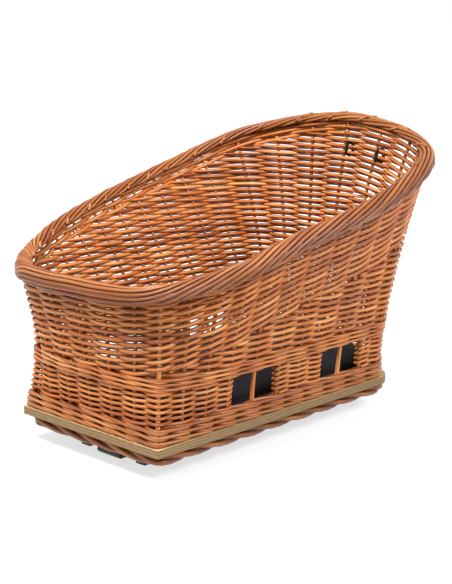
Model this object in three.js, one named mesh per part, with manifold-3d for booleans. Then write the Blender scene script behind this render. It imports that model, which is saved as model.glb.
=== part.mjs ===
// Woven dog basket for a bicycle rear rack, with a quick-release adapter below.
//
// Units are millimetres and +Z is up. X runs along the basket, with the low
// front towards -X and the high back towards +X. The lowest face is at Z = 0.
// The wall is a set of upright stakes that stand in a wooden base board and
// fan out to a slanted rim. The woven bands between the stakes are solid
// here, each with one bore for every stake that passes through it, and their
// courses stand out and draw in at the stakes in turn, as the woven rods do.

import * as THREE from 'three';
import Module from 'manifold-3d';
import { mergeVertices } from 'three/addons/utils/BufferGeometryUtils.js';

const wasm = await Module();
wasm.setup();

// Clearances
const FIT_GAP = 0.3;
const LEVER_SWING_ROOM = 6.5;
const CUSHION_ROOM = 4;

// Base board
const BOARD_LENGTH = 528;
const BOARD_WIDTH = 290;
const BOARD_THICKNESS = 12;
const BOARD_REAR_RADIUS = 45;
const BOARD_FRONT_RADIUS = 3;
const BOARD_UNDERSIDE_HEIGHT = 40;

// Stakes and weaving rods
const STAKE_DIAMETER = 6.5;
const ROD_DIAMETER = 5.2;
const STAKE_INSET = 10.5;
const STAKES_FRONT_HALF = 2;
const STAKES_SIDE = 10;
const STAKES_REAR_HALF = 3;
const STAKE_FACETS = 6;
const STAKE_STEPS = 4;
const STAKE_STEP_EASE = 1.2;
const FLARE_POWER = 1.6;
const CORNER_PINCH = 13;
const PINCH_BESIDE_CORNER = 0.35;

// Levels of the woven bands, measured up from the top of the board
const SILL_HEIGHT = 25;
const WINDOW_HEAD_HEIGHT = 73;
const WALE_HEIGHT = 20;

// Relief of the weave: courses in the upper band, cover over a stake and fill between stakes
const UPPER_COURSES = 11;
const PANEL_COURSES = 4;
const STAKE_COVER = 2;
const BETWEEN_SHARE = 0.55;

// Windows: the number of the side stake at which each one starts, two bays wide
const WINDOW_ONE_START = 3;
const WINDOW_TWO_START = 7;
const WINDOW_BAYS = 2;
const WINDOW_BAY_SPREAD = 1.21;

// Rim, measured from the board edge and from the top of the board
const RIM_FRONT_OVERHANG = 18.5;
const RIM_BACK_OVERHANG = 47;
const RIM_HALF_WIDTH = 231;
const RIM_FRONT_HEIGHT = 206;
const RIM_BACK_HEIGHT = 392.5;
const BORDER_WIDTH = 27;
const BORDER_HEIGHT = 26;
const BORDER_SKIRT = 11;
const FOOT_BORDER_SIZE = 18;
const FOOT_BORDER_INSET = 12.5;
const FOOT_BORDER_FRONT_RADIUS = 14;

// Floor cushion
const CUSHION_THICKNESS = 52;
const CUSHION_CROWN = 12;
const CUSHION_DRAW_IN = 5;
const CUSHION_CORNER_RADIUS = 34;

// Quick-release adapter
const ADAPTER_LENGTH = 390;
const ADAPTER_WIDTH = 196;
const ADAPTER_PLATE = 6;
const ADAPTER_FRONT_SETBACK = 47;
const RAIL_SPACING = 100;
const RAIL_WIDTH = 18;
const RAIL_WALL = 5;
const RAIL_HOLLOW_DEPTH = 18;
const RAIL_FRONT_END = 40;
const RAIL_BACK_END = 12;
const LIP_WIDTH = 6;
const LIP_THICKNESS = 6;
const RIB_THICKNESS = 4;
const RIB_DEPTH = 10;
const RIB_SETBACK = 3;
const RIB_SPREAD = 84;
const LEVER_WIDTH = 46;
const LEVER_LENGTH = 40;
const LEVER_FRONT_SETBACK = 38;
const LEVER_CORNER = 4;
const LEVER_GRIP_DEPTH = 2.5;
const LEVER_REAR_LIFT = 0.3;
const EAR_THICKNESS = 5;
const EAR_LENGTH = 16;
const PIN_DIAMETER = 6;
const PIN_FROM_LEVER_FRONT = 28.8;
const PIN_HEIGHT_SHARE = 0.55;

// Fixings
const SCREW_DIAMETER = 6;
const SCREW_HEAD_DIAMETER = 14;
const SCREW_HEAD_HEIGHT = 3;
const SCREW_PAST_NUT = 2;
const SOCKET_WIDTH = 4.56;
const SOCKET_DEPTH = 1.8;
const SCREW_SPREAD_LENGTH = 280;
const SCREW_SPREAD_WIDTH = 164;
const NUT_WIDTH = 10;
const NUT_HEIGHT = 5;
const ROUND_FACETS = 12;
const HEAD_FACETS = 16;

// Tie loops on the back wall
const TIE_DIAMETER = 3.4;
const TIE_HEIGHT = 24;
const TIE_DROP = 42;
const TIE_BESIDE_STAKE = 0.16;
const TIE_STEPS = 16;
const TIE_FACETS = 6;
const TIE_SQUARENESS = 0.6;
const TIE_CLEARANCE = 0.4;

// Values worked out from the sizes above
const BOARD_TOP = BOARD_UNDERSIDE_HEIGHT + BOARD_THICKNESS;
const BAND_SWELL = STAKE_DIAMETER / 2 + ROD_DIAMETER;
const BAND_THIN = ROD_DIAMETER;
const BAND_HOLLOW = STAKE_DIAMETER / 2 + STAKE_COVER;
const BAND_BETWEEN = ROD_DIAMETER * BETWEEN_SHARE;
const STAKE_X = BOARD_LENGTH / 2 - STAKE_INSET;
const STAKE_Y = BOARD_WIDTH / 2 - STAKE_INSET;
const LEAST_RADIUS = 4;
const STAKE_REAR_RADIUS = Math.max(BOARD_REAR_RADIUS - STAKE_INSET, LEAST_RADIUS);
const CORNER = STAKES_FRONT_HALF + 1;
const SIDE_END = CORNER + STAKES_SIDE;
const HALF_COUNT = SIDE_END + STAKES_REAR_HALF + 1;
const STAKE_COUNT = HALF_COUNT * 2;

const WILLOW = 0xb06a3c;
const WILLOW_LIGHT = 0xc58250;
const PLYWOOD = 0xc9a06c;
const CLOTH = 0x1c1a1c;
const PLASTIC = 0x17181a;
const STEEL = 0x8c9094;

// How far a cutting or joining solid runs past the face that it meets
const PAST = 1;

// Mesh helpers

function makeMesh(name, geometry, color, roughness, metalness) {
  const material = new THREE.MeshStandardMaterial({ color, roughness, metalness });
  const mesh = new THREE.Mesh(geometry, material);
  mesh.name = name;
  return mesh;
}

function toSolid(geometry) {
  const bare = geometry.clone();
  bare.deleteAttribute('normal');
  bare.deleteAttribute('uv');
  const merged = mergeVertices(bare, 1e-4);
  const vertProperties = new Float32Array(merged.attributes.position.array);
  const triVerts = new Uint32Array(merged.index.array);
  return new wasm.Manifold(new wasm.Mesh({ numProp: 3, vertProperties, triVerts }));
}

function toGeometry(solid) {
  const mesh = solid.getMesh();
  const geometry = new THREE.BufferGeometry();
  geometry.setAttribute('position', new THREE.BufferAttribute(new Float32Array(mesh.vertProperties), 3));
  geometry.setIndex(new THREE.BufferAttribute(new Uint32Array(mesh.triVerts), 1));
  geometry.computeVertexNormals();
  return geometry;
}

function indexed(points, faces) {
  const geometry = new THREE.BufferGeometry();
  geometry.setAttribute('position', new THREE.Float32BufferAttribute(points.flatMap((p) => [p.x, p.y, p.z]), 3));
  geometry.setIndex(faces);
  geometry.computeVertexNormals();
  return geometry;
}

// Skin over a list of rings, each with the same number of points. The rings
// run along the piece and each ring goes anticlockwise seen from its far end.
function skin(rings, closed) {
  const count = rings[0].length;
  const points = rings.flat();
  const faces = [];
  const last = closed ? rings.length : rings.length - 1;
  for (let r = 0; r < last; r += 1) {
    const next = (r + 1) % rings.length;
    for (let k = 0; k < count; k += 1) {
      const a = r * count + k;
      const b = r * count + ((k + 1) % count);
      const c = next * count + ((k + 1) % count);
      const d = next * count + k;
      faces.push(a, b, c, a, c, d);
    }
  }
  if (!closed) {
    const start = points.length;
    for (const ring of [rings[0], rings[rings.length - 1]]) {
      const centre = new THREE.Vector3();
      ring.forEach((p) => centre.add(p));
      points.push(centre.multiplyScalar(1 / count));
    }
    const tail = (rings.length - 1) * count;
    for (let k = 0; k < count; k += 1) {
      const n = (k + 1) % count;
      faces.push(start, n, k);
      faces.push(start + 1, tail + k, tail + n);
    }
  }
  return indexed(points, faces);
}

function box(x0, x1, y0, y1, z0, z1) {
  const geometry = new THREE.BoxGeometry(x1 - x0, y1 - y0, z1 - z0);
  geometry.translate((x0 + x1) / 2, (y0 + y1) / 2, (z0 + z1) / 2);
  return toSolid(geometry);
}

function cylinder(radius, z0, z1, x, y, facets) {
  const geometry = new THREE.CylinderGeometry(radius, radius, z1 - z0, facets);
  geometry.rotateX(Math.PI / 2);
  geometry.translate(x, y, (z0 + z1) / 2);
  return toSolid(geometry);
}

function crossCylinder(radius, y0, y1, x, z, facets) {
  const geometry = new THREE.CylinderGeometry(radius, radius, y1 - y0, facets);
  geometry.translate(x, (y0 + y1) / 2, z);
  return toSolid(geometry);
}

// Where the stakes stand on the board

function basePoint(distance) {
  const straight = STAKE_X * 2 - STAKE_REAR_RADIUS;
  const arc = (Math.PI / 2) * STAKE_REAR_RADIUS;
  if (distance <= STAKE_Y) {
    return new THREE.Vector3(-STAKE_X, -distance, 0);
  }
  const side = distance - STAKE_Y;
  if (side <= straight) {
    return new THREE.Vector3(-STAKE_X + side, -STAKE_Y, 0);
  }
  const turn = side - straight;
  if (turn <= arc) {
    const angle = turn / STAKE_REAR_RADIUS;
    const x = STAKE_X - STAKE_REAR_RADIUS + STAKE_REAR_RADIUS * Math.sin(angle);
    const y = -STAKE_Y + STAKE_REAR_RADIUS - STAKE_REAR_RADIUS * Math.cos(angle);
    return new THREE.Vector3(x, y, 0);
  }
  const back = turn - arc;
  return new THREE.Vector3(STAKE_X, -STAKE_Y + STAKE_REAR_RADIUS + back, 0);
}

// Bays passed along a side, where a bay in a window counts as a wider one
function sideWeight(bays) {
  const inWindow = (start) => Math.min(Math.max(bays - start, 0), WINDOW_BAYS);
  const windowBays = inWindow(WINDOW_ONE_START) + inWindow(WINDOW_TWO_START);
  return bays + windowBays * (WINDOW_BAY_SPREAD - 1);
}

function baseDistance(station) {
  const straight = STAKE_X * 2 - STAKE_REAR_RADIUS;
  const arc = (Math.PI / 2) * STAKE_REAR_RADIUS;
  const sideEnd = STAKE_Y + straight;
  const total = sideEnd + arc + STAKE_Y - STAKE_REAR_RADIUS;
  if (station <= CORNER) {
    return (STAKE_Y * station) / CORNER;
  }
  if (station <= SIDE_END) {
    return STAKE_Y + (straight * sideWeight(station - CORNER)) / sideWeight(STAKES_SIDE);
  }
  return sideEnd + ((total - sideEnd) * (station - SIDE_END)) / (HALF_COUNT - SIDE_END);
}

// The rim as one closed curve, low and narrow in front, high and wide behind

function rimPoint(along, across, rise) {
  const front = -BOARD_LENGTH / 2 - RIM_FRONT_OVERHANG;
  const back = BOARD_LENGTH / 2 + RIM_BACK_OVERHANG;
  const x = front + (back - front) * along;
  const z = RIM_FRONT_HEIGHT + (RIM_BACK_HEIGHT - RIM_FRONT_HEIGHT) * rise;
  return new THREE.Vector3(x, -RIM_HALF_WIDTH * across, z);
}

const rimFront = rimPoint(0, 0, 0);
const rimFrontCorner = rimPoint(0.031, 0.573, 0.016);
const rimFrontShoulder = rimPoint(0.188, 0.856, 0.146);
const rimSideFront = rimPoint(0.348, 0.934, 0.302);
const rimSideBack = rimPoint(0.676, 1, 0.557);
const rimBackShoulder = rimPoint(0.917, 0.82, 0.818);
const rimBack = rimPoint(1, 0, 1);
const rimHalf = [rimFrontCorner, rimFrontShoulder, rimSideFront, rimSideBack, rimBackShoulder];
const mirrored = rimHalf.map((p) => new THREE.Vector3(p.x, -p.y, p.z)).reverse();
const rimCurve = new THREE.CatmullRomCurve3([rimFront, ...rimHalf, rimBack, ...mirrored], true, 'centripetal');
rimCurve.arcLengthDivisions = 600;

function rimFraction(station) {
  const frontPitch = 0.0314;
  const corner = 0.0828;
  const sideEnd = 0.3425;
  if (station < CORNER) {
    return (frontPitch * station * 3) / CORNER;
  }
  if (station <= SIDE_END) {
    const u = (station - CORNER) / STAKES_SIDE;
    return corner + (sideEnd - corner) * (0.82 * u + 0.18 * u * u);
  }
  return sideEnd + ((0.5 - sideEnd) * (station - SIDE_END)) / (HALF_COUNT - SIDE_END);
}

function buildStation(index) {
  const station = index <= HALF_COUNT ? index : STAKE_COUNT - index;
  const base = basePoint(baseDistance(station));
  const top = rimCurve.getPointAt(rimFraction(station));
  top.z -= BORDER_HEIGHT / 2 - BORDER_SKIRT + FIT_GAP;
  let pinch = 0;
  if (station === CORNER) {
    pinch = CORNER_PINCH;
  }
  if (Math.abs(station - CORNER) === 1) {
    pinch = CORNER_PINCH * PINCH_BESIDE_CORNER;
  }
  if (index > HALF_COUNT) {
    base.y = -base.y;
    top.y = -top.y;
  }
  return { base, top, pinch };
}

const stations = Array.from({ length: STAKE_COUNT }, (_, index) => buildStation(index));

// Point on the centre line of one stake. The part is 0 at the board and 1 at the rim.
function stakePoint(index, part) {
  const { base, top, pinch } = stations[(index + STAKE_COUNT) % STAKE_COUNT];
  const lean = part ** FLARE_POWER;
  const x = base.x + (top.x - base.x) * lean;
  const y = base.y + (top.y - base.y) * lean;
  const bump = 16 * part * part * (1 - part) * (1 - part) * pinch * Math.SQRT1_2;
  return new THREE.Vector3(x - Math.sign(base.x) * bump, y - Math.sign(base.y) * bump, top.z * part);
}

function partAtHeight(index, height) {
  return height / stations[(index + STAKE_COUNT) % STAKE_COUNT].top.z;
}

// Point on the middle surface of the wall, at a place between two stakes
function wallPoint(place, partOf) {
  const low = Math.floor(place);
  const f = place - low;
  const parts = [low - 1, low, low + 1, low + 2].map(partOf);
  const p = parts.map((part, k) => stakePoint(low - 1 + k, part));
  const straight = p[1].clone().lerp(p[2], f);
  const curve = new THREE.CatmullRomCurve3(p, false, 'centripetal');
  const bent = curve.getPoint((1 + f) / 3);
  const roundness = Math.min(1, parts[1] + (parts[2] - parts[1]) * f);
  const corner = Math.abs(stationOf(place) - CORNER) <= 1 ? roundness : 1;
  return straight.lerp(bent, corner * roundness);
}

function stationOf(place) {
  const around = ((place % STAKE_COUNT) + STAKE_COUNT) % STAKE_COUNT;
  return around <= HALF_COUNT ? around : STAKE_COUNT - around;
}

// Outward direction of the wall, lengthened at a bend so that the thickness stays even
function wallNormal(place, partOf) {
  const step = 0.25;
  const before = wallPoint(place - step, partOf);
  const here = wallPoint(place, partOf);
  const after = wallPoint(place + step, partOf);
  const first = new THREE.Vector3(here.y - before.y, before.x - here.x, 0).normalize();
  const second = new THREE.Vector3(after.y - here.y, here.x - after.x, 0).normalize();
  const scale = 1 / (1 + Math.max(first.dot(second), -0.5));
  return first.add(second).multiplyScalar(scale);
}

// Woven bands

// Half thickness to one side of the wall's middle. A course stands out on one side of a
// stake and draws in on the other, and the next course does the opposite.
function courseHalf(column, level, side) {
  const outside = Math.abs(column.stake + level) % 2 === 0;
  return outside === side > 0 ? BAND_SWELL : BAND_HOLLOW;
}

function wovenHalf(column, level, side) {
  if (column.half !== undefined) {
    return column.half;
  }
  return column.stake === undefined ? BAND_BETWEEN : courseHalf(column, level, side);
}

// A wale covers every stake on both sides
function waleHalf(column) {
  return column.stake === undefined ? BAND_THIN : BAND_SWELL;
}

// Ring or strip of wall. Each column goes up its inner face and down its outer face.
function bandGeometry(columns, levels, closed, halfOf) {
  const rings = columns.map((column) => {
    const outer = [];
    const inner = [];
    levels.forEach((partOf, level) => {
      const centre = wallPoint(column.place, partOf);
      const normal = wallNormal(column.place, partOf);
      outer.push(centre.clone().addScaledVector(normal, halfOf(column, level, 1)));
      inner.push(centre.clone().addScaledVector(normal, -halfOf(column, level, -1)));
    });
    return [...inner, ...outer.reverse()];
  });
  return skin(rings, closed);
}

// One column at each stake and one between each two
function columnsBetween(first, last) {
  const columns = [];
  for (let stake = first; stake <= last; stake += 1) {
    columns.push({ place: stake, stake });
    if (stake < last) {
      columns.push({ place: stake + 0.5 });
    }
  }
  return columns;
}

function ringColumns() {
  return [...columnsBetween(0, STAKE_COUNT - 1), { place: STAKE_COUNT - 0.5 }];
}

// Columns of a strip that starts and ends with rods turned round a stake
function stripColumns(first, last) {
  const middle = (place) => wallPoint(place, (index) => partAtHeight(index, SILL_HEIGHT));
  const firstBay = middle(first).distanceTo(middle(first - 1));
  const lastBay = middle(last).distanceTo(middle(last + 1));
  const wrap = STAKE_DIAMETER / 2 + ROD_DIAMETER;
  const tip = { reach: wrap, half: BAND_SWELL * 0.4 };
  const shoulder = { reach: wrap * 0.65, half: BAND_SWELL * 0.85 };
  return [
    { place: first - tip.reach / firstBay, half: tip.half },
    { place: first - shoulder.reach / firstBay, half: shoulder.half },
    ...columnsBetween(first, last),
    { place: last + shoulder.reach / lastBay, half: shoulder.half },
    { place: last + tip.reach / lastBay, half: tip.half },
  ];
}

function levelAt(height) {
  return (index) => partAtHeight(index, height);
}

function levelBetween(height, part) {
  return (index) => {
    const low = partAtHeight(index, height);
    return low + (1 - low) * part;
  };
}

function levelBelowRim(depth) {
  return (index) => 1 - depth / stations[(index + STAKE_COUNT) % STAKE_COUNT].top.z;
}

// The high band: its courses spread from the waist to the rim, and its top slips under the rim's skirt
function upperGeometry(columns, start) {
  const underSkirt = BORDER_SKIRT * 1.3;
  const levels = [];
  for (let k = 0; k < UPPER_COURSES; k += 1) {
    const part = k / UPPER_COURSES;
    levels.push((index) => {
      const low = partAtHeight(index, start);
      return low + (levelBelowRim(underSkirt)(index) - low) * part;
    });
  }
  levels.push(levelBelowRim(underSkirt), levelBelowRim(0));
  const halfOf = (column, level, side) => {
    if (level >= UPPER_COURSES) {
      return BAND_THIN;
    }
    return wovenHalf(column, level, side);
  };
  return bandGeometry(columns, levels, true, halfOf);
}

// Stakes

function stakeRings(index, radius, extra) {
  const rings = [];
  const centres = [];
  const foot = stakePoint(index, 0);
  centres.push(new THREE.Vector3(foot.x, foot.y, -BOARD_THICKNESS - extra));
  centres.push(new THREE.Vector3(foot.x, foot.y, FIT_GAP));
  for (let k = 1; k <= STAKE_STEPS; k += 1) {
    centres.push(stakePoint(index, (k / STAKE_STEPS) ** STAKE_STEP_EASE));
  }
  if (extra > 0) {
    const end = centres[centres.length - 1];
    const direction = end.clone().sub(centres[centres.length - 2]).normalize();
    centres.push(end.clone().addScaledVector(direction, extra + STAKE_DIAMETER));
  }
  const top = levelBetween(0, 1);
  const normal = wallNormal(index, top).normalize();
  const ahead = wallPoint(index + 0.1, top).sub(wallPoint(index - 0.1, top)).normalize();
  const upward = normal.clone().cross(ahead).normalize();
  centres.forEach((centre, level) => {
    const ring = [];
    for (let k = 0; k < STAKE_FACETS; k += 1) {
      const angle = ((k + 0.5) / STAKE_FACETS) * Math.PI * 2;
      const x = centre.x + radius * Math.cos(angle);
      const y = centre.y + radius * Math.sin(angle);
      ring.push(new THREE.Vector3(x, y, centre.z));
    }
    if (extra === 0 && level === centres.length - 1) {
      const direction = centre.clone().sub(centres[level - 1]).normalize();
      ring.forEach((p) => {
        const depth = p.clone().sub(centre).dot(upward) / direction.dot(upward);
        p.addScaledVector(direction, -depth);
      });
    }
    rings.push(ring);
  });
  return rings;
}

function stakeGeometry(index) {
  return skin(stakeRings(index, STAKE_DIAMETER / 2, 0), false);
}

function stakeBore(index) {
  const radius = STAKE_DIAMETER / 2 + FIT_GAP / Math.cos(Math.PI / STAKE_FACETS);
  return toSolid(skin(stakeRings(index, radius, 2), false));
}

const bores = wasm.Manifold.union(stations.map((_, index) => stakeBore(index)));

function bored(geometry) {
  return toGeometry(toSolid(geometry).subtract(bores));
}

// Rim border

function borderSection(width, height, facets) {
  const points = [];
  for (let k = 0; k < facets; k += 1) {
    const angle = ((k + 0.5) / facets) * Math.PI * 2;
    const across = Math.sign(Math.cos(angle)) * Math.abs(Math.cos(angle)) ** 0.75;
    const up = Math.sign(Math.sin(angle)) * Math.abs(Math.sin(angle)) ** 0.75;
    points.push({ across: (across * width) / 2, up: (up * height) / 2 });
  }
  const lowest = Math.min(...points.map((p) => p.up));
  points.forEach((p) => {
    p.up -= lowest;
  });
  return points;
}

// Section of the rim: a rounded roll over the wall with a skirt that hangs down outside
function rimSection() {
  const half = BORDER_WIDTH / 2;
  const roll = BORDER_HEIGHT - BORDER_SKIRT;
  const skirtInside = BAND_THIN + FIT_GAP * 3;
  return [
    { across: -half * 0.7, up: 0 },
    { across: -half * 0.92, up: roll * 0.35 },
    { across: -half * 0.72, up: roll * 0.78 },
    { across: -half * 0.2, up: roll },
    { across: half * 0.5, up: roll * 0.93 },
    { across: half * 0.93, up: roll * 0.5 },
    { across: half, up: -BORDER_SKIRT * 0.3 },
    { across: half * 0.85, up: -BORDER_SKIRT * 0.85 },
    { across: (half + skirtInside) * 0.5, up: -BORDER_SKIRT },
    { across: skirtInside, up: -BORDER_SKIRT * 0.8 },
    { across: skirtInside, up: 0 },
  ].reverse();
}

function rimBorderGeometry() {
  const section = rimSection();
  const top = levelBetween(0, 1);
  const rings = [];
  for (let k = 0; k < STAKE_COUNT * 2; k += 1) {
    const place = k / 2;
    const centre = wallPoint(place, top);
    const normal = wallNormal(place, top);
    const ahead = wallPoint(place + 0.25, top).sub(wallPoint(place - 0.25, top)).normalize();
    const upward = normal.clone().normalize().cross(ahead).normalize();
    const start = centre.clone().addScaledVector(upward, FIT_GAP * 3);
    const ring = section.map((p) => start.clone().addScaledVector(normal, p.across).addScaledVector(upward, p.up));
    rings.push(ring.reverse());
  }
  return skin(rings, true);
}

// Board and the border below it

function boardShape(inset, frontRadius) {
  const x = BOARD_LENGTH / 2 - inset;
  const y = BOARD_WIDTH / 2 - inset;
  const r = Math.max(BOARD_REAR_RADIUS - inset, LEAST_RADIUS);
  const f = frontRadius;
  const shape = new THREE.Shape();
  shape.moveTo(-x + f, -y);
  shape.lineTo(x - r, -y);
  shape.absarc(x - r, -y + r, r, -Math.PI / 2, 0, false);
  shape.lineTo(x, y - r);
  shape.absarc(x - r, y - r, r, 0, Math.PI / 2, false);
  shape.lineTo(-x + f, y);
  shape.absarc(-x + f, y - f, f, Math.PI / 2, Math.PI, false);
  shape.lineTo(-x, -y + f);
  shape.absarc(-x + f, -y + f, f, Math.PI, Math.PI * 1.5, false);
  return shape;
}

function screwPlaces() {
  const places = [];
  for (const sx of [-1, 1]) {
    for (const sy of [-1, 1]) {
      places.push({ x: ADAPTER_MIDDLE + (sx * SCREW_SPREAD_LENGTH) / 2, y: (sy * SCREW_SPREAD_WIDTH) / 2 });
    }
  }
  return places;
}

const ADAPTER_FRONT = -BOARD_LENGTH / 2 + ADAPTER_FRONT_SETBACK;
const ADAPTER_BACK = ADAPTER_FRONT + ADAPTER_LENGTH;
const ADAPTER_MIDDLE = (ADAPTER_FRONT + ADAPTER_BACK) / 2;

function boardGeometry() {
  const geometry = new THREE.ExtrudeGeometry(boardShape(0, BOARD_FRONT_RADIUS), {
    depth: BOARD_THICKNESS,
    bevelEnabled: false,
    curveSegments: 5,
  });
  geometry.translate(0, 0, -BOARD_THICKNESS);
  let solid = toSolid(geometry).subtract(bores);
  for (const place of screwPlaces()) {
    const hole = SCREW_DIAMETER / 2 + FIT_GAP;
    const sink = SCREW_HEAD_DIAMETER / 2 + FIT_GAP;
    solid = solid.subtract(cylinder(hole, -BOARD_THICKNESS - PAST, PAST, place.x, place.y, ROUND_FACETS));
    solid = solid.subtract(cylinder(sink, -SCREW_HEAD_HEIGHT - FIT_GAP, PAST, place.x, place.y, HEAD_FACETS));
  }
  return toGeometry(solid);
}

function footBorderGeometry() {
  const outline = boardShape(FOOT_BORDER_INSET, FOOT_BORDER_FRONT_RADIUS).getPoints(3);
  const path = outline.filter((p, k) => k === 0 || p.distanceTo(outline[k - 1]) > 0.5);
  if (path[0].distanceTo(path[path.length - 1]) < 0.5) {
    path.pop();
  }
  const section = borderSection(FOOT_BORDER_SIZE, FOOT_BORDER_SIZE, 8);
  const depth = Math.max(...section.map((p) => p.up));
  const rings = path.map((p, k) => {
    const before = path[(k + path.length - 1) % path.length];
    const after = path[(k + 1) % path.length];
    const first = new THREE.Vector2(p.y - before.y, before.x - p.x).normalize();
    const second = new THREE.Vector2(after.y - p.y, p.x - after.x).normalize();
    const normal = first.clone().add(second).multiplyScalar(1 / (1 + first.dot(second)));
    const low = -BOARD_THICKNESS - FIT_GAP - depth;
    const ring = section.map((q) => new THREE.Vector3(p.x + normal.x * q.across, p.y + normal.y * q.across, low + q.up));
    return ring.reverse();
  });
  return skin(rings, true);
}

// Floor cushion: soft slab with a crown, round edges and sides drawn in between the corners

function cushionGeometry() {
  const halfX = STAKE_X - BAND_SWELL - CUSHION_ROOM;
  const halfY = STAKE_Y - BAND_SWELL - CUSHION_ROOM;
  const radius = CUSHION_CORNER_RADIUS;
  const around = 44;
  const outline = [];
  const straightX = 2 * (halfX - radius);
  const straightY = 2 * (halfY - radius);
  const arc = (Math.PI / 2) * radius;
  const lengths = [straightY, arc, straightX, arc, straightY, arc, straightX, arc];
  const total = lengths.reduce((sum, part) => sum + part, 0);
  for (let k = 0; k < around; k += 1) {
    let s = (k / around) * total;
    let leg = 0;
    while (s > lengths[leg] + 1e-9) {
      s -= lengths[leg];
      leg += 1;
    }
    const turn = Math.floor(leg / 2) * (Math.PI / 2);
    const long = leg % 4 === 0 ? halfX : halfY;
    const wide = leg % 4 === 0 ? halfY : halfX;
    let x;
    let y;
    if (leg % 2 === 0) {
      const part = (2 * s) / lengths[leg] - 1;
      x = long - CUSHION_DRAW_IN * (1 - part * part);
      y = part * (wide - radius);
    } else {
      const cornerLong = leg % 4 === 1 ? halfX : halfY;
      const cornerWide = leg % 4 === 1 ? halfY : halfX;
      x = cornerLong - radius + radius * Math.cos(s / radius);
      y = cornerWide - radius + radius * Math.sin(s / radius);
    }
    const px = x * Math.cos(turn) - y * Math.sin(turn);
    const py = x * Math.sin(turn) + y * Math.cos(turn);
    outline.push(new THREE.Vector2(px, py));
  }
  const edge = CUSHION_THICKNESS * 0.42;
  const levels = [
    { inset: edge * 0.85, z: FIT_GAP },
    { inset: edge * 0.3, z: edge * 0.3 + FIT_GAP },
    { inset: 0, z: CUSHION_THICKNESS * 0.45 },
    { inset: edge * 0.25, z: CUSHION_THICKNESS * 0.74 },
    { inset: edge * 0.9, z: CUSHION_THICKNESS * 0.93 },
    { inset: edge * 2.1, z: CUSHION_THICKNESS + CUSHION_CROWN * 0.35 },
    { inset: edge * 3.6, z: CUSHION_THICKNESS + CUSHION_CROWN * 0.85 },
  ];
  const rings = levels.map((level) => outline.map((p) => {
    const sx = (halfX - level.inset) / halfX;
    const sy = (halfY - level.inset) / halfY;
    return new THREE.Vector3(p.x * sx, p.y * sy, level.z);
  }));
  const geometry = skin(rings, false);
  const position = geometry.attributes.position;
  position.setZ(position.count - 1, CUSHION_THICKNESS + CUSHION_CROWN);
  geometry.computeVertexNormals();
  return geometry;
}

// Adapter, lever and pin

const PLATE_TOP = -BOARD_THICKNESS - FIT_GAP;
const PLATE_BOTTOM = PLATE_TOP - ADAPTER_PLATE;
const GROUND = -BOARD_TOP;
const LEVER_FRONT = -BOARD_LENGTH / 2 + LEVER_FRONT_SETBACK;
const LEVER_TOP = PLATE_BOTTOM - LEVER_SWING_ROOM;
const PIN_X = LEVER_FRONT + PIN_FROM_LEVER_FRONT;
const PIN_Z = GROUND + (LEVER_TOP - GROUND) * PIN_HEIGHT_SHARE;

// Box between two widths on one side of the middle
function sideBox(side, x0, x1, inner, outer, z0, z1) {
  return side > 0 ? box(x0, x1, inner, outer, z0, z1) : box(x0, x1, -outer, -inner, z0, z1);
}

function pinBore() {
  return crossCylinder(PIN_DIAMETER / 2 + FIT_GAP, -LEVER_WIDTH, LEVER_WIDTH, PIN_X, PIN_Z, ROUND_FACETS);
}

function adapterGeometry() {
  const halfWidth = ADAPTER_WIDTH / 2;
  const railInner = RAIL_SPACING / 2;
  const railOuter = railInner + RAIL_WIDTH;
  const joined = PLATE_BOTTOM + PAST;
  const lipStart = PIN_X + LEVER_LENGTH / 2;
  const earInner = LEVER_WIDTH / 2 + FIT_GAP;
  const earLow = PIN_Z - EAR_LENGTH / 2;
  let solid = box(ADAPTER_FRONT, ADAPTER_BACK, -halfWidth, halfWidth, PLATE_BOTTOM, PLATE_TOP);
  for (const side of [-1, 1]) {
    const add = (...edges) => {
      solid = solid.add(sideBox(side, ...edges));
    };
    add(ADAPTER_FRONT, ADAPTER_BACK, railInner, railOuter, GROUND, joined);
    add(lipStart, ADAPTER_BACK, railInner - LIP_WIDTH, railInner + PAST, GROUND, GROUND + LIP_THICKNESS);
    add(PIN_X - EAR_LENGTH / 2, PIN_X + EAR_LENGTH / 2, earInner, earInner + EAR_THICKNESS, earLow, joined);
    for (let k = -1; k <= 1; k += 1) {
      const x = ADAPTER_MIDDLE + RIB_SPREAD * k - RIB_THICKNESS / 2;
      add(x, x + RIB_THICKNESS, railOuter - PAST, halfWidth - RIB_SETBACK, PLATE_BOTTOM - RIB_DEPTH, joined);
    }
    const hollowFront = ADAPTER_FRONT + RAIL_FRONT_END;
    const hollowBack = ADAPTER_BACK - RAIL_BACK_END;
    const hollowTop = GROUND + RAIL_HOLLOW_DEPTH;
    const inner = railInner + RAIL_WALL;
    const outer = railOuter - RAIL_WALL;
    solid = solid.subtract(sideBox(side, hollowFront, hollowBack, inner, outer, GROUND - PAST, hollowTop));
  }
  for (const place of screwPlaces()) {
    const hole = SCREW_DIAMETER / 2 + FIT_GAP;
    const low = PLATE_BOTTOM - RIB_DEPTH - PAST;
    solid = solid.subtract(cylinder(hole, low, PLATE_TOP + PAST, place.x, place.y, ROUND_FACETS));
  }
  return toGeometry(solid.subtract(pinBore()));
}

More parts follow.
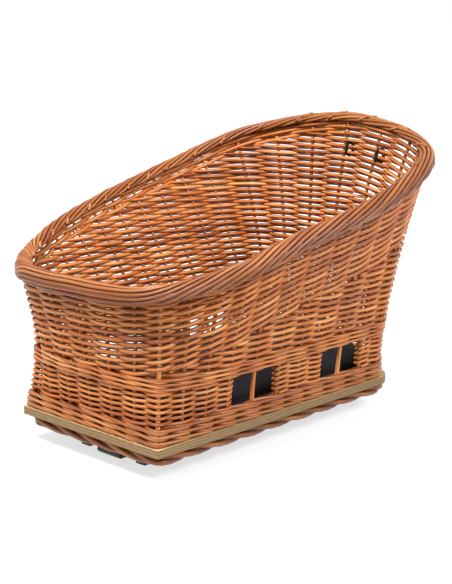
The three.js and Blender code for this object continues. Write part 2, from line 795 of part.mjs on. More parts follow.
function leverGeometry() {
  const back = LEVER_FRONT + LEVER_LENGTH;
  const height = LEVER_TOP - GROUND;
  const shape = new THREE.Shape();
  shape.moveTo(LEVER_FRONT + LEVER_CORNER, GROUND);
  shape.lineTo(PIN_X - LEVER_CORNER / 2, GROUND);
  shape.lineTo(back, GROUND + height * LEVER_REAR_LIFT);
  shape.lineTo(back, LEVER_TOP - LEVER_CORNER);
  shape.lineTo(back - LEVER_CORNER, LEVER_TOP);
  shape.lineTo(LEVER_FRONT + LEVER_CORNER, LEVER_TOP);
  shape.lineTo(LEVER_FRONT, LEVER_TOP - LEVER_CORNER);
  shape.lineTo(LEVER_FRONT + LEVER_GRIP_DEPTH, GROUND + height / 2);
  shape.lineTo(LEVER_FRONT, GROUND + LEVER_CORNER);
  const geometry = new THREE.ExtrudeGeometry(shape, { depth: LEVER_WIDTH, bevelEnabled: false });
  geometry.rotateX(Math.PI / 2);
  geometry.translate(0, LEVER_WIDTH / 2, 0);
  return toGeometry(toSolid(geometry).subtract(pinBore()));
}

function pinGeometry() {
  const reach = LEVER_WIDTH / 2 + FIT_GAP + EAR_THICKNESS;
  return toGeometry(crossCylinder(PIN_DIAMETER / 2, -reach, reach, PIN_X, PIN_Z, ROUND_FACETS));
}

// Screws and nuts

function screwGeometry(place) {
  const end = PLATE_BOTTOM - FIT_GAP - NUT_HEIGHT - SCREW_PAST_NUT;
  const under = -SCREW_HEAD_HEIGHT;
  let solid = cylinder(SCREW_HEAD_DIAMETER / 2, under, 0, place.x, place.y, HEAD_FACETS);
  solid = solid.add(cylinder(SCREW_DIAMETER / 2, end, under + PAST / 2, place.x, place.y, ROUND_FACETS));
  return toGeometry(solid.subtract(cylinder(SOCKET_WIDTH / 2, -SOCKET_DEPTH, PAST, place.x, place.y, 6)));
}

function nutGeometry(place) {
  const radius = NUT_WIDTH / 2 / Math.cos(Math.PI / 6);
  const top = PLATE_BOTTOM - FIT_GAP;
  const low = top - NUT_HEIGHT;
  const hole = SCREW_DIAMETER / 2 + FIT_GAP;
  const bore = cylinder(hole, low - PAST, top + PAST, place.x, place.y, ROUND_FACETS);
  return toGeometry(cylinder(radius, low, top, place.x, place.y, 6).subtract(bore));
}

// Tie loops: each one passes through the back wall beside a stake

function tieGeometry(place, radius) {
  const partOf = levelBelowRim(TIE_DROP);
  const above = levelBelowRim(TIE_DROP - TIE_HEIGHT / 2);
  const centre = wallPoint(place, partOf);
  const normal = wallNormal(place, partOf).normalize();
  const upward = wallPoint(place, above).sub(centre).normalize();
  const out = new THREE.Vector3().crossVectors(upward, normal).normalize();
  const face = new THREE.Vector3().crossVectors(out, upward).normalize();
  const reach = BAND_SWELL + TIE_DIAMETER / 2 + FIT_GAP;
  const rings = [];
  for (let k = 0; k < TIE_STEPS; k += 1) {
    const angle = (k / TIE_STEPS) * Math.PI * 2;
    const c = Math.cos(angle);
    const s = Math.sin(angle);
    const a = Math.sign(c) * Math.abs(c) ** TIE_SQUARENESS * reach;
    const b = Math.sign(s) * Math.abs(s) ** TIE_SQUARENESS * (TIE_HEIGHT / 2);
    const middle = centre.clone().addScaledVector(face, a).addScaledVector(upward, b);
    const radial = face.clone().multiplyScalar(c).addScaledVector(upward, s);
    const ring = [];
    for (let j = 0; j < TIE_FACETS; j += 1) {
      const turn = ((j + 0.5) / TIE_FACETS) * Math.PI * 2;
      const point = middle.clone();
      point.addScaledVector(radial, radius * Math.cos(turn));
      point.addScaledVector(out, radius * Math.sin(turn));
      ring.push(point);
    }
    rings.push(ring);
  }
  return skin(rings, true);
}

// The whole basket

function build() {
  const group = new THREE.Group();
  group.name = 'dog_bicycle_basket';
  const put = (name, geometry, color, roughness, metalness) => {
    group.add(makeMesh(name, geometry, color, roughness, metalness));
  };

  put('base_board', boardGeometry(), PLYWOOD, 0.7, 0);
  put('foot_border', footBorderGeometry(), WILLOW_LIGHT, 0.6, 0);

  stations.forEach((_, index) => {
    const name = `stake_${String(index + 1).padStart(2, '0')}`;
    put(name, stakeGeometry(index), WILLOW_LIGHT, 0.55, 0);
  });

  const ring = ringColumns();
  const sillLevels = [levelAt(FIT_GAP), levelAt(SILL_HEIGHT)];
  put('sill_weave', bored(bandGeometry(ring, sillLevels, true, waleHalf)), WILLOW, 0.6, 0);
  const low = SILL_HEIGHT + FIT_GAP;
  const high = WINDOW_HEAD_HEIGHT - FIT_GAP;
  const panelLevels = [];
  for (let k = 0; k < PANEL_COURSES; k += 1) {
    panelLevels.push(levelAt(low + ((high - low) * k) / (PANEL_COURSES - 1)));
  }
  const panel = (first, last) => bored(bandGeometry(stripColumns(first, last), panelLevels, false, wovenHalf));
  const oneStart = CORNER + WINDOW_ONE_START;
  const oneEnd = oneStart + WINDOW_BAYS;
  const twoStart = CORNER + WINDOW_TWO_START;
  const twoEnd = twoStart + WINDOW_BAYS;
  put('front_panel', panel(-oneStart, oneStart), WILLOW, 0.6, 0);
  put('side_panel_near', panel(oneEnd, twoStart), WILLOW, 0.6, 0);
  put('rear_panel', panel(twoEnd, STAKE_COUNT - twoEnd), WILLOW, 0.6, 0);
  put('side_panel_far', panel(STAKE_COUNT - twoStart, STAKE_COUNT - oneEnd), WILLOW, 0.6, 0);
  const waleTop = WINDOW_HEAD_HEIGHT + WALE_HEIGHT;
  const waleLevels = [levelAt(WINDOW_HEAD_HEIGHT), levelAt(waleTop)];
  put('waist_wale', bored(bandGeometry(ring, waleLevels, true, waleHalf)), WILLOW_LIGHT, 0.55, 0);

  const ties = [HALF_COUNT - TIE_BESIDE_STAKE, HALF_COUNT - 1 - TIE_BESIDE_STAKE];
  let upper = toSolid(upperGeometry(ring, waleTop + FIT_GAP)).subtract(bores);
  for (const place of ties) {
    upper = upper.subtract(toSolid(tieGeometry(place, TIE_DIAMETER / 2 + TIE_CLEARANCE)));
  }
  put('upper_weave', toGeometry(upper), WILLOW, 0.6, 0);
  put('rim_border', rimBorderGeometry(), WILLOW_LIGHT, 0.5, 0);
  ties.forEach((place, k) => {
    put(`tie_loop_${k + 1}`, tieGeometry(place, TIE_DIAMETER / 2), CLOTH, 0.6, 0);
  });

  put('floor_cushion', cushionGeometry(), CLOTH, 0.95, 0);
  put('adapter_plate', adapterGeometry(), PLASTIC, 0.5, 0);
  put('release_lever', leverGeometry(), PLASTIC, 0.4, 0);
  put('lever_pin', pinGeometry(), STEEL, 0.35, 1);
  screwPlaces().forEach((place, k) => {
    put(`board_screw_${k + 1}`, screwGeometry(place), STEEL, 0.35, 1);
    put(`screw_nut_${k + 1}`, nutGeometry(place), STEEL, 0.35, 1);
  });

  const bounds = new THREE.Box3();
  group.children.forEach((mesh) => {
    mesh.geometry.computeBoundingBox();
    bounds.union(mesh.geometry.boundingBox);
  });
  const middleX = (bounds.min.x + bounds.max.x) / 2;
  const middleY = (bounds.min.y + bounds.max.y) / 2;
  group.children.forEach((mesh) => mesh.geometry.translate(-middleX, -middleY, -bounds.min.z));
  return group;
}

export default build();
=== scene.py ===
"""Looks of a woven dog basket for a bicycle rear rack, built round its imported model."""
import logging
import math
from dataclasses import dataclass, field
from enum import Enum
from typing import Callable, Mapping, Sequence

import bmesh
import bpy
import numpy as np
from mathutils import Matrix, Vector


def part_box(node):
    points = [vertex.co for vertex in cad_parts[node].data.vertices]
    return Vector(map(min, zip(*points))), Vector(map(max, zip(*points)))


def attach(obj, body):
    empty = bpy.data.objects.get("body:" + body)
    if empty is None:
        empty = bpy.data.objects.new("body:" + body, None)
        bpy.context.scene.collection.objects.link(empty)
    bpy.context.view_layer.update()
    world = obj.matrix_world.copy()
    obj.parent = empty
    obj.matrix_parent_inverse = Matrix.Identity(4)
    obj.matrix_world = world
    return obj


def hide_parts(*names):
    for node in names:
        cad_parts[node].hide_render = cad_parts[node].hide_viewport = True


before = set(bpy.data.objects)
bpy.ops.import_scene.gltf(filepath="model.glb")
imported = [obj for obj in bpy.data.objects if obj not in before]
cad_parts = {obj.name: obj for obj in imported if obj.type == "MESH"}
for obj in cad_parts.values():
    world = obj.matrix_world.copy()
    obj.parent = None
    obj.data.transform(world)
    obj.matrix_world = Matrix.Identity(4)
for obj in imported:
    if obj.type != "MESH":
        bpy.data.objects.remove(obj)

logging.basicConfig(level=logging.INFO, format="%(name)s: %(message)s")
LOG = logging.getLogger("basket")
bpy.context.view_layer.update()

Array = np.ndarray
Color = tuple[float, float, float]
Material = bpy.types.Material
Mesh = bpy.types.Mesh
Node = bpy.types.Node
Piece = bpy.types.Object
Socket = bpy.types.NodeSocket
Tree = bpy.types.NodeTree

WHITE: Color = (1.0, 1.0, 1.0)
# Lengths that guard a division, tell two points apart and join a mesh's points
TINY = 1e-12
SHORTEST_CHORD = 1e-6
SAME_POINT = 1e-5
MERGE_DISTANCE = 0.0001


class Body(Enum):
    """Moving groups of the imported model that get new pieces."""

    BASKET = "basket"
    CUSHION = "cushion"


class Slot(Enum):
    """Material slots of the record, which the pieces are built with but not given."""

    ROD = "willow_rod"
    WEAVE = "willow_weave"
    CLOTH = "black_cloth"
    CORD = "black_cord"


# Sizes and the form of the wall


@dataclass(frozen=True)
class BasketSizes:
    """Driving sizes of the basket in metres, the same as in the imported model."""

    board_length: float = 0.528
    board_width: float = 0.290
    board_thickness: float = 0.012
    board_rear_radius: float = 0.045
    board_underside: float = 0.040
    stake_diameter: float = 0.0065
    stake_inset: float = 0.0105
    front_half: int = 2
    side_count: int = 10
    rear_half: int = 3
    flare_power: float = 1.6
    corner_pinch: float = 0.013
    next_pinch: float = 0.35
    sill_height: float = 0.025
    head_height: float = 0.073
    wale_height: float = 0.020
    window_starts: tuple[int, int] = (3, 7)
    window_bays: int = 2
    window_bay_spread: float = 1.21
    rim_front_overhang: float = 0.0185
    rim_back_overhang: float = 0.047
    rim_half_width: float = 0.231
    rim_front_height: float = 0.206
    rim_back_height: float = 0.3925
    # Half of the rim's line from the front centre: shares of its length, half width and rise
    rim_marks: tuple[tuple[float, float, float], ...] = (
        (0.0, 0.0, 0.0), (0.031, 0.573, 0.016), (0.188, 0.856, 0.146), (0.348, 0.934, 0.302),
        (0.676, 1.0, 0.557), (0.917, 0.82, 0.818), (1.0, 0.0, 1.0))
    # Shares of the rim's length at which the stakes meet it
    rim_front_share: float = 0.0314
    rim_front_bays: int = 3
    rim_corner_share: float = 0.0828
    rim_side_share: float = 0.3425
    rim_side_ease: tuple[float, float] = (0.82, 0.18)
    border_width: float = 0.027
    border_height: float = 0.026
    border_skirt: float = 0.011
    foot_size: float = 0.018
    foot_inset: float = 0.0125
    foot_front_radius: float = 0.014
    gap: float = 0.0003
    middle_x: float = 0.0

    @property
    def board_top(self) -> float:
        """Height of the board's top above the floor."""
        return self.board_underside + self.board_thickness

    @property
    def corner(self) -> int:
        """Number of the corner stake, counted from the front centre."""
        return self.front_half + 1

    @property
    def side_end(self) -> int:
        """Number of the last side stake, counted from the front centre."""
        return self.corner + self.side_count

    @property
    def half_count(self) -> int:
        """Number of the rear centre stake."""
        return self.side_end + self.rear_half + 1

    @property
    def count(self) -> int:
        """Number of stakes."""
        return self.half_count * 2


def spline(points: Sequence[Array], weight: Array) -> Array:
    """Centripetal spline between the two middle ones of four points.

    Args:
        points: Four arrays, one row for each place.
        weight: Place in the span, from 0 to 1, one for each row.

    Returns:
        One point for each row.
    """
    p0, p1, p2, p3 = points
    d0, d1, d2 = (np.maximum(np.linalg.norm(b - a, axis=1), SHORTEST_CHORD)[:, None] ** 0.5
                  for a, b in ((p0, p1), (p1, p2), (p2, p3)))
    t1 = ((p1 - p0) / d0 - (p2 - p0) / (d0 + d1) + (p2 - p1) / d1) * d1
    t2 = ((p2 - p1) / d1 - (p3 - p1) / (d1 + d2) + (p3 - p2) / d2) * d1
    w = weight[:, None]
    c2 = -3 * p1 + 3 * p2 - 2 * t1 - t2
    c3 = 2 * p1 - 2 * p2 + t1 + t2
    return p1 + t1 * w + c2 * w**2 + c3 * w**3


def ring_spline(ring: Array, steps: Array) -> Array:
    """Points on a smooth closed line through a ring of points.

    Args:
        ring: The ring's points.
        steps: Places along the ring, where a whole number is a point of it.

    Returns:
        One point for each step.
    """
    low = np.floor(steps).astype(int)
    return spline([ring[(low + k) % len(ring)] for k in (-1, 0, 1, 2)], steps - low)


def lengths_along(points: Array) -> Array:
    """Length passed at each point of a line, which starts at 0."""
    return np.r_[0, np.cumsum(np.linalg.norm(np.diff(points, axis=0), axis=1))]


def to_unit(vectors: Array) -> Array:
    """Vectors of length 1 in the same directions."""
    return vectors / np.linalg.norm(vectors, axis=1)[:, None]


def level_out(ahead: Array) -> Array:
    """Level unit vectors to the right of the given directions."""
    return to_unit(np.c_[ahead[:, 1], -ahead[:, 0], np.zeros(len(ahead))])


class WallForm:
    """The curved wall that the stakes span, as a surface over place and height."""

    RIM_STEPS = 600
    HALF_STEP = 0.25

    def __init__(self, sizes: BasketSizes) -> None:
        """Work out where each stake stands and ends.

        Args:
            sizes: The basket's sizes.
        """
        self.sizes = sizes
        self.stake_x = sizes.board_length / 2 - sizes.stake_inset
        self.stake_y = sizes.board_width / 2 - sizes.stake_inset
        self.rear_radius = sizes.board_rear_radius - sizes.stake_inset
        self.straight = self.stake_x * 2 - self.rear_radius
        self._rim = self._rim_table()
        stations = [self._station(k) for k in range(sizes.count)]
        self.base, self.top, self.pinch = (np.array(column) for column in zip(*stations))

    def _base_point(self, distance: float) -> tuple[float, float]:
        """Point of the stake line.

        Args:
            distance: Distance from the front centre along the line.

        Returns:
            The point's length and width coordinates.
        """
        radius = self.rear_radius
        arc = math.pi / 2 * radius
        if distance <= self.stake_y:
            return -self.stake_x, -distance
        side = distance - self.stake_y
        if side <= self.straight:
            return -self.stake_x + side, -self.stake_y
        turn = side - self.straight
        if turn <= arc:
            angle = turn / radius
            return (self.stake_x - radius + radius * math.sin(angle),
                    -self.stake_y + radius - radius * math.cos(angle))
        return self.stake_x, -self.stake_y + radius + turn - arc

    def _side_weight(self, bays: float) -> float:
        """Length of a stretch of a side in usual bays, where a bay in a window is wider.

        Args:
            bays: Bays from the corner stake.

        Returns:
            The number of usual bays.
        """
        s = self.sizes
        windows = sum(min(max(bays - start, 0), s.window_bays) for start in s.window_starts)
        return bays + windows * (s.window_bay_spread - 1)

    def _base_distance(self, station: float) -> float:
        """Distance of a stake's foot from the front centre along the stake line.

        Args:
            station: Number of the stake, counted from the front centre.

        Returns:
            The distance.
        """
        s = self.sizes
        side_end = self.stake_y + self.straight
        total = side_end + math.pi / 2 * self.rear_radius + self.stake_y - self.rear_radius
        if station <= s.corner:
            return self.stake_y * station / s.corner
        if station <= s.side_end:
            part = self._side_weight(station - s.corner) / self._side_weight(s.side_count)
            return self.stake_y + self.straight * part
        return side_end + (total - side_end) * (station - s.side_end) / (s.half_count - s.side_end)

    def _rim_table(self) -> tuple[Array, Array]:
        """Work out the rim's line.

        Returns:
            Points round the rim, and the share of its length passed at each.
        """
        s = self.sizes
        front = -s.board_length / 2 - s.rim_front_overhang
        back = s.board_length / 2 + s.rim_back_overhang
        rise = s.rim_back_height - s.rim_front_height
        half = [(front + (back - front) * a, -s.rim_half_width * b, s.rim_front_height + rise * c)
                for a, b, c in s.rim_marks]
        ring = np.array(half + [(x, -y, z) for x, y, z in half[-2:0:-1]])
        points = ring_spline(ring, np.arange(self.RIM_STEPS + 1) / self.RIM_STEPS * len(ring))
        lengths = lengths_along(points)
        return points, lengths / lengths[-1]

    def _rim_fraction(self, station: float) -> float:
        """Part of the rim's length at which a stake meets it.

        Args:
            station: Number of the stake, counted from the front centre.

        Returns:
            The part, from 0 to 0.5.
        """
        s = self.sizes
        if station < s.corner:
            return s.rim_front_share * station * s.rim_front_bays / s.corner
        if station <= s.side_end:
            u = (station - s.corner) / s.side_count
            steady, ease = s.rim_side_ease
            side = s.rim_side_share - s.rim_corner_share
            return s.rim_corner_share + side * (steady * u + ease * u * u)
        rear = (station - s.side_end) / (s.half_count - s.side_end)
        return s.rim_side_share + (0.5 - s.rim_side_share) * rear

    def _station(self, index: int) -> tuple[Array, Array, float]:
        """Work out one stake.

        Args:
            index: Number of the stake, counted once round the basket.

        Returns:
            Its foot, its top and its inward bow.
        """
        s = self.sizes
        station = index if index <= s.half_count else s.count - index
        x, y = self._base_point(self._base_distance(station))
        points, lengths = self._rim
        part = self._rim_fraction(station)
        top = np.array([np.interp(part, lengths, points[:, k]) for k in range(3)])
        top[2] -= s.border_height / 2 - s.border_skirt + s.gap
        bow = {0: s.corner_pinch, 1: s.corner_pinch * s.next_pinch}.get(abs(station - s.corner), 0.0)
        side = -1.0 if index > s.half_count else 1.0
        return np.array([x, y * side, 0.0]), np.array([top[0], top[1] * side, top[2]]), bow

    def stake(self, index: Array, height: Array) -> Array:
        """Points on the centre lines of stakes.

        Args:
            index: Numbers of the stakes.
            height: Heights above the board's top.

        Returns:
            One point for each pair, above the board's top and about its middle.
        """
        k = np.asarray(index) % self.sizes.count
        base, top = self.base[k], self.top[k]
        part = np.clip(height / top[:, 2], 0, None)
        lean = (part ** self.sizes.flare_power)[:, None]
        inside = np.clip(part, 0, 1)
        bell = 16 * inside**2 * (1 - inside) ** 2  # rises to 1 at half height
        bow = bell * self.pinch[k] * math.sqrt(0.5)
        point = base + (top - base) * lean
        point[:, :2] -= np.sign(base[:, :2]) * bow[:, None]
        point[:, 2] = height
        return point

    def _between(self, place: Array, pick_points: Callable[[Array], Array], roundness: Array) -> Array:
        """Blend of a straight and a rounded path through four neighbouring stakes.

        Args:
            place: Places round the basket, where a whole number is a stake.
            pick_points: Gives the points of the stakes with the given numbers.
            roundness: Weight of the rounded path at each place.

        Returns:
            One point for each place.
        """
        low = np.floor(place).astype(int)
        f = place - low
        p = [pick_points(low + k) for k in (-1, 0, 1, 2)]
        straight = p[1] * (1 - f)[:, None] + p[2] * f[:, None]
        around = place % self.sizes.count
        station = np.minimum(around, self.sizes.count - around)
        near_corner = np.abs(station - self.sizes.corner) <= 1
        blend = np.where(near_corner, roundness**2, roundness)[:, None]
        return straight * (1 - blend) + spline(p, f) * blend

    def wall(self, place: Array, height: Array) -> Array:
        """Points on the middle surface of the wall.

        Args:
            place: Places round the basket, where a whole number is a stake.
            height: Heights above the board's top.

        Returns:
            One point for each pair.
        """
        place = np.asarray(place, float)
        height = np.broadcast_to(np.asarray(height, float), place.shape)
        roundness = np.clip(height / self.rim_height(place), 0, 1)
        return self._between(place, lambda k: self.stake(k, height), roundness)

    def rim_height(self, place: Array) -> Array:
        """Height of the top of the weave at places round the basket."""
        return self.rim(place)[:, 2]

    def rim(self, place: Array) -> Array:
        """Points on the line where the weave meets the border."""
        place = np.asarray(place, float)
        return self._between(place, lambda k: self.top[k % self.sizes.count], np.ones(len(place)))

    def outward(self, place: Array, height: Array) -> Array:
        """Level directions that point out of the wall.

        Args:
            place: Places round the basket.
            height: Heights above the board's top.

        Returns:
            One unit vector for each pair.
        """
        place = np.asarray(place, float)
        half = self.HALF_STEP
        return level_out(self.wall(place + half, height) - self.wall(place - half, height))

    @property
    def origin(self) -> Array:
        """Place of the board's frame in the model's frame."""
        return np.array([self.sizes.middle_x, 0.0, self.sizes.board_top])


# Meshes


def pick(obj: Piece | None) -> None:
    """Leave edit mode and select one object alone, or none.

    Args:
        obj: Object that is selected and made active.
    """
    if bpy.context.object and bpy.context.object.mode != "OBJECT":
        bpy.ops.object.mode_set(mode="OBJECT")
    bpy.ops.object.select_all(action="DESELECT")
    if obj:
        obj.select_set(True)
        bpy.context.view_layer.objects.active = obj


def link(name: str, mesh: Mesh) -> Piece:
    """Put a mesh into the scene as a new object.

    Args:
        name: Name of the object.
        mesh: Its mesh.

    Returns:
        The object.
    """
    obj = bpy.data.objects.new(name, mesh)
    bpy.context.scene.collection.objects.link(obj)
    return obj


def copy_node(node: str, name: str, mend: Callable[[], object]) -> Piece:
    """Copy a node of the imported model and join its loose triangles.

    Args:
        node: Node to copy.
        name: Name of the copy.
        mend: Edit mode operator that follows the join.

    Returns:
        The copy, selected.
    """
    obj = link(name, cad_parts[node].data.copy())
    pick(obj)
    bpy.ops.object.mode_set(mode="EDIT")
    bpy.ops.mesh.select_all(action="SELECT")
    bpy.ops.mesh.remove_doubles(threshold=MERGE_DISTANCE)
    mend()
    bpy.ops.object.mode_set(mode="OBJECT")
    return obj


def change(obj: Piece, kind: str, **settings: object) -> None:
    """Add a modifier to the selected object and apply it.

    Args:
        obj: The selected object.
        kind: Type of the modifier.
        **settings: Its properties.
    """
    modifier = obj.modifiers.new(kind.lower(), kind)
    for key, value in settings.items():
        setattr(modifier, key, value)
    bpy.ops.object.modifier_apply(modifier=modifier.name)


def read_points(mesh: Mesh) -> Array:
    """Points of a mesh, one row each.

    Args:
        mesh: The mesh.

    Returns:
        The points.
    """
    points = np.empty(len(mesh.vertices) * 3)
    mesh.vertices.foreach_get("co", points)
    return points.reshape(-1, 3)


def write_points(mesh: Mesh, points: Array) -> None:
    """Move the points of a mesh."""
    mesh.vertices.foreach_set("co", points.ravel())
    mesh.update()


def write_look(mesh: Mesh, tones: Array, uv: Array) -> None:
    """Shade a rod mesh smoothly and write what the willow finish reads.

    Args:
        mesh: The mesh.
        tones: Shade of each point, from 0 to 1.
        uv: Place along and round the rod at each corner of each face.
    """
    layer = mesh.uv_layers.active or mesh.uv_layers.new(name="UVMap")
    layer.uv.foreach_set("vector", uv.astype(np.float32).ravel())
    mesh.attributes.new("tone", "FLOAT", "POINT").data.foreach_set("value", tones.astype(np.float32))
    mesh.polygons.foreach_set("use_smooth", np.ones(len(mesh.polygons), dtype=bool))


def dress(obj: Piece, material: Material, body: Body, slot: Slot, *nodes: str) -> None:
    """Args:
        obj: The piece.
        material: Its finish.
        body: Group that it moves with.
        slot: Not used.
        *nodes: Nodes of the model that it stands for.
    """
    obj.data.materials.clear()
    obj.data.materials.append(material)
    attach(obj, body.value)
    if nodes:
        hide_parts(*nodes)
    LOG.info("%s: %d faces", obj.name, len(obj.data.polygons))


class RodBundle:
    """Round rods gathered in one mesh, with a tone for each rod and a map along it."""

    FACETS = 8  # faces round each rod
    MAP_SHIFT = 7.3  # how far apart on the map the darkest and the lightest rod lie

    def __init__(self, form: WallForm) -> None:
        """Start an empty bundle.

        Args:
            form: The wall that gives the model's frame.
        """
        self.form = form
        self.points: list[Array] = []
        self.faces: list[Array] = []
        self.maps: list[Array] = []
        self.tones: list[Array] = []
        self.total = 0

    def add(self, path: Array, side: Array, radius: Array, tone: float, closed: bool = False) -> None:
        """Add one rod.

        Args:
            path: Points along the rod, in the board's frame.
            side: One direction at each point that is not along the rod.
            radius: Radius at each point.
            tone: Shade of the rod, from 0 to 1.
            closed: Whether the rod closes on itself.
        """
        n, k = len(path), self.FACETS
        if closed:
            ahead = np.roll(path, -1, axis=0) - np.roll(path, 1, axis=0)
        else:
            ahead = np.gradient(path, axis=0)
        ahead /= np.linalg.norm(ahead, axis=1)[:, None] + TINY
        first = side - ahead * np.sum(side * ahead, axis=1)[:, None]
        first /= np.linalg.norm(first, axis=1)[:, None] + TINY
        second = np.cross(ahead, first)
        turn = (np.arange(k) / k * 2 * math.pi)[None, :, None]
        ring = first[:, None, :] * np.cos(turn) + second[:, None, :] * np.sin(turn)
        points = path[:, None, :] + ring * np.asarray(radius)[:, None, None]
        run = lengths_along(np.r_[path, path[:1] if closed else path[-1:]]) + tone * self.MAP_SHIFT
        rows = n if closed else n - 1
        i, j = np.arange(rows)[:, None], np.arange(k)[None, :]
        ahead_i, next_j = (i + 1) % n, (j + 1) % k
        quads = np.stack([i * k + j, i * k + next_j, ahead_i * k + next_j, ahead_i * k + j], axis=-1)
        u0, u1, v0, v1 = (np.broadcast_to(part, (rows, k))
                          for part in (run[:rows, None], run[1:rows + 1, None], j / k, (j + 1) / k))
        corners = [np.stack(pair, -1) for pair in ((u0, v0), (u0, v1), (u1, v1), (u1, v0))]
        self.points.append(points.reshape(-1, 3))
        self.faces.append(quads.reshape(-1, 4) + self.total)
        self.maps.append(np.stack(corners, axis=2).reshape(-1, 2))
        self.tones.append(np.full(n * k, tone))
        self.total += n * k
        if not closed:
            self._cap(path[0], self.total - n * k, run[0], tone, True)
            self._cap(path[-1], self.total - k - 1, run[-1], tone, False)

    def _cap(self, centre: Array, start: int, run: float, tone: float, first: bool) -> None:
        """Close one end of a rod with a fan of quads round its centre.

        Args:
            centre: Middle of the end.
            start: Number of the first point of the end's ring.
            run: Place along the map.
            tone: Shade of the rod.
            first: Whether this is the end that the rod starts with.
        """
        k = self.FACETS
        j = np.arange(0, k, 2)
        middle = np.full(len(j), self.total)
        fan = [middle, start + j, start + (j + 1) % k, start + (j + 2) % k]
        self.points.append(centre[None, :])
        self.tones.append(np.array([tone]))
        self.faces.append(np.stack([fan[0], *fan[:0:-1]] if first else fan, axis=-1))
        self.maps.append(np.tile(np.array([[run, 0.5]]), (len(j) * 4, 1)))
        self.total += 1

    def build(self, name: str, material: Material, body: Body, slot: Slot, *nodes: str) -> None:
        """Args:
            name: Name of the new piece.
            material: Finish of the piece.
            body: Group that it moves with.
            slot: Slot of the record, handed to dress, which does not use it.
            *nodes: Nodes of the model that it stands for.
        """
        points = (np.concatenate(self.points) + self.form.origin).astype(np.float32)
        faces = np.concatenate(self.faces).astype(np.int32)
        mesh = bpy.data.meshes.new(name)
        mesh.vertices.add(len(points))
        mesh.vertices.foreach_set("co", points.ravel())
        mesh.loops.add(faces.size)
        mesh.loops.foreach_set("vertex_index", faces.ravel())
        mesh.polygons.add(len(faces))
        mesh.polygons.foreach_set("loop_start", np.arange(0, faces.size, 4, dtype=np.int32))
        mesh.update(calc_edges=True)
        write_look(mesh, np.concatenate(self.tones), np.concatenate(self.maps))
        mesh.validate()
        dress(link(name, mesh), material, body, slot, *nodes)


# Materials


class NodeWork:
    """A node tree, with short ways to add nodes to it and to join them."""

    def __init__(self, tree: Tree) -> None:
        """Keep the tree."""
        self.tree = tree

    def plug(self, socket: Socket, value: object) -> None:
        """Link an input to another node's output, or set its value.

        Args:
            socket: The input.
            value: An output, or a value. A colour is given without its alpha.
        """
        if isinstance(value, Socket):
            self.tree.links.new(value, socket)
        else:
            socket.default_value = (*value, 1.0) if socket.type == "RGBA" else value

    def node(self, kind: str, inputs: Mapping[str | int, object] | None = None, **settings: object) -> Node:
        """Add a node.

        Args:
            kind: Type of the node, without the start that all shader nodes share.
            inputs: Outputs or values for its inputs, by name or number.
            **settings: Its properties.

        Returns:
            The node.
        """
        node = self.tree.nodes.new("ShaderNode" + kind)
        for key, value in settings.items():
            setattr(node, key, value)
        for key, value in (inputs or {}).items():
            self.plug(node.inputs[key], value)
        return node

    def place(self) -> Socket:
        """Object coordinates."""
        return self.node("TexCoord").outputs["Object"]

    def axis(self, vector: Socket, axis: str) -> Socket:
        """One coordinate of a vector."""
        return self.node("SeparateXYZ", {0: vector}).outputs[axis]

    def math(self, operation: str, *values: float | Socket, clamp: bool = False) -> Socket:
        """Work out a number.

        Args:
            operation: What is done.
            *values: The numbers that it is done with.
            clamp: Whether the result stays from 0 to 1.

        Returns:
            The result.
        """
        return self.node("Math", dict(enumerate(values)), operation=operation, use_clamp=clamp).outputs[0]

    def remap(self, value: Socket, low: float, high: float, first: float, last: float,
              curve: str = "LINEAR") -> Socket:
        """Carry a value from one range to another.

        Args:
            value: The value.
            low: Start of its range.
            high: End of its range.
            first: Result at the start.
            last: Result at the end.
            curve: How the result runs between them.

        Returns:
            The result.
        """
        inputs = {"Value": value, "From Min": low, "From Max": high, "To Min": first, "To Max": last}
        return self.node("MapRange", inputs, interpolation_type=curve).outputs["Result"]

    def noise(self, vector: Socket, scale: float | Socket, detail: float, roughness: float) -> Socket:
        """Uneven values from 0 to 1.

        Args:
            vector: Coordinates.
            scale: Size of the pattern, the smaller the larger.
            detail: Number of finer layers.
            roughness: Strength of the finer layers.

        Returns:
            The values.
        """
        inputs = {"Vector": vector, "Scale": scale, "Detail": detail, "Roughness": roughness}
        return self.node("TexNoise", inputs).outputs["Fac"]

    def ramp(self, factor: Socket, *stops: tuple[float, Color]) -> Socket:
        """Colours along a factor.

        Args:
            factor: The factor.
            *stops: Places along it with their colours.

        Returns:
            The colour.
        """
        node = self.node("ValToRGB", {"Fac": factor})
        elements = node.color_ramp.elements
        while len(elements) < len(stops):
            elements.new(0.5)
        for element, (position, color) in zip(elements, stops):
            element.position = position
            element.color = (*color, 1.0)
        return node.outputs["Color"]

    def mix(self, factor: float | Socket, first: Socket, second: Socket | Color,
            mode: str = "MULTIPLY") -> Socket:
        """Mix two colours.

        Args:
            factor: Weight of the second colour.
            first: The first colour.
            second: The second colour.
            mode: How they are mixed.

        Returns:
            The colour.
        """
        inputs = {0: factor, 6: first, 7: second}
        return self.node("Mix", inputs, data_type="RGBA", blend_type=mode).outputs[2]

    def relief(self, height: Socket, strength: float, distance: float) -> Socket:
        """Normals of a surface with a fine relief.

        Args:
            height: The relief.
            strength: Share of it that shows.
            distance: Height of it in metres.

        Returns:
            The normals.
        """
        inputs = {"Height": height, "Strength": strength, "Distance": distance}
        return self.node("Bump", inputs).outputs["Normal"]

    def shared(self, group: Tree, vector: Socket, **values: float) -> Mapping[str, Socket]:
        """Place a shared group with its own values.

        Args:
            group: The group.
            vector: Coordinates for it.
            **values: Values for its inputs, with underscores for spaces.

        Returns:
            The group's outputs by name.
        """
        inputs = {"Vector": vector, **{key.replace("_", " "): value for key, value in values.items()}}
        return self.node("Group", inputs, node_tree=group).outputs


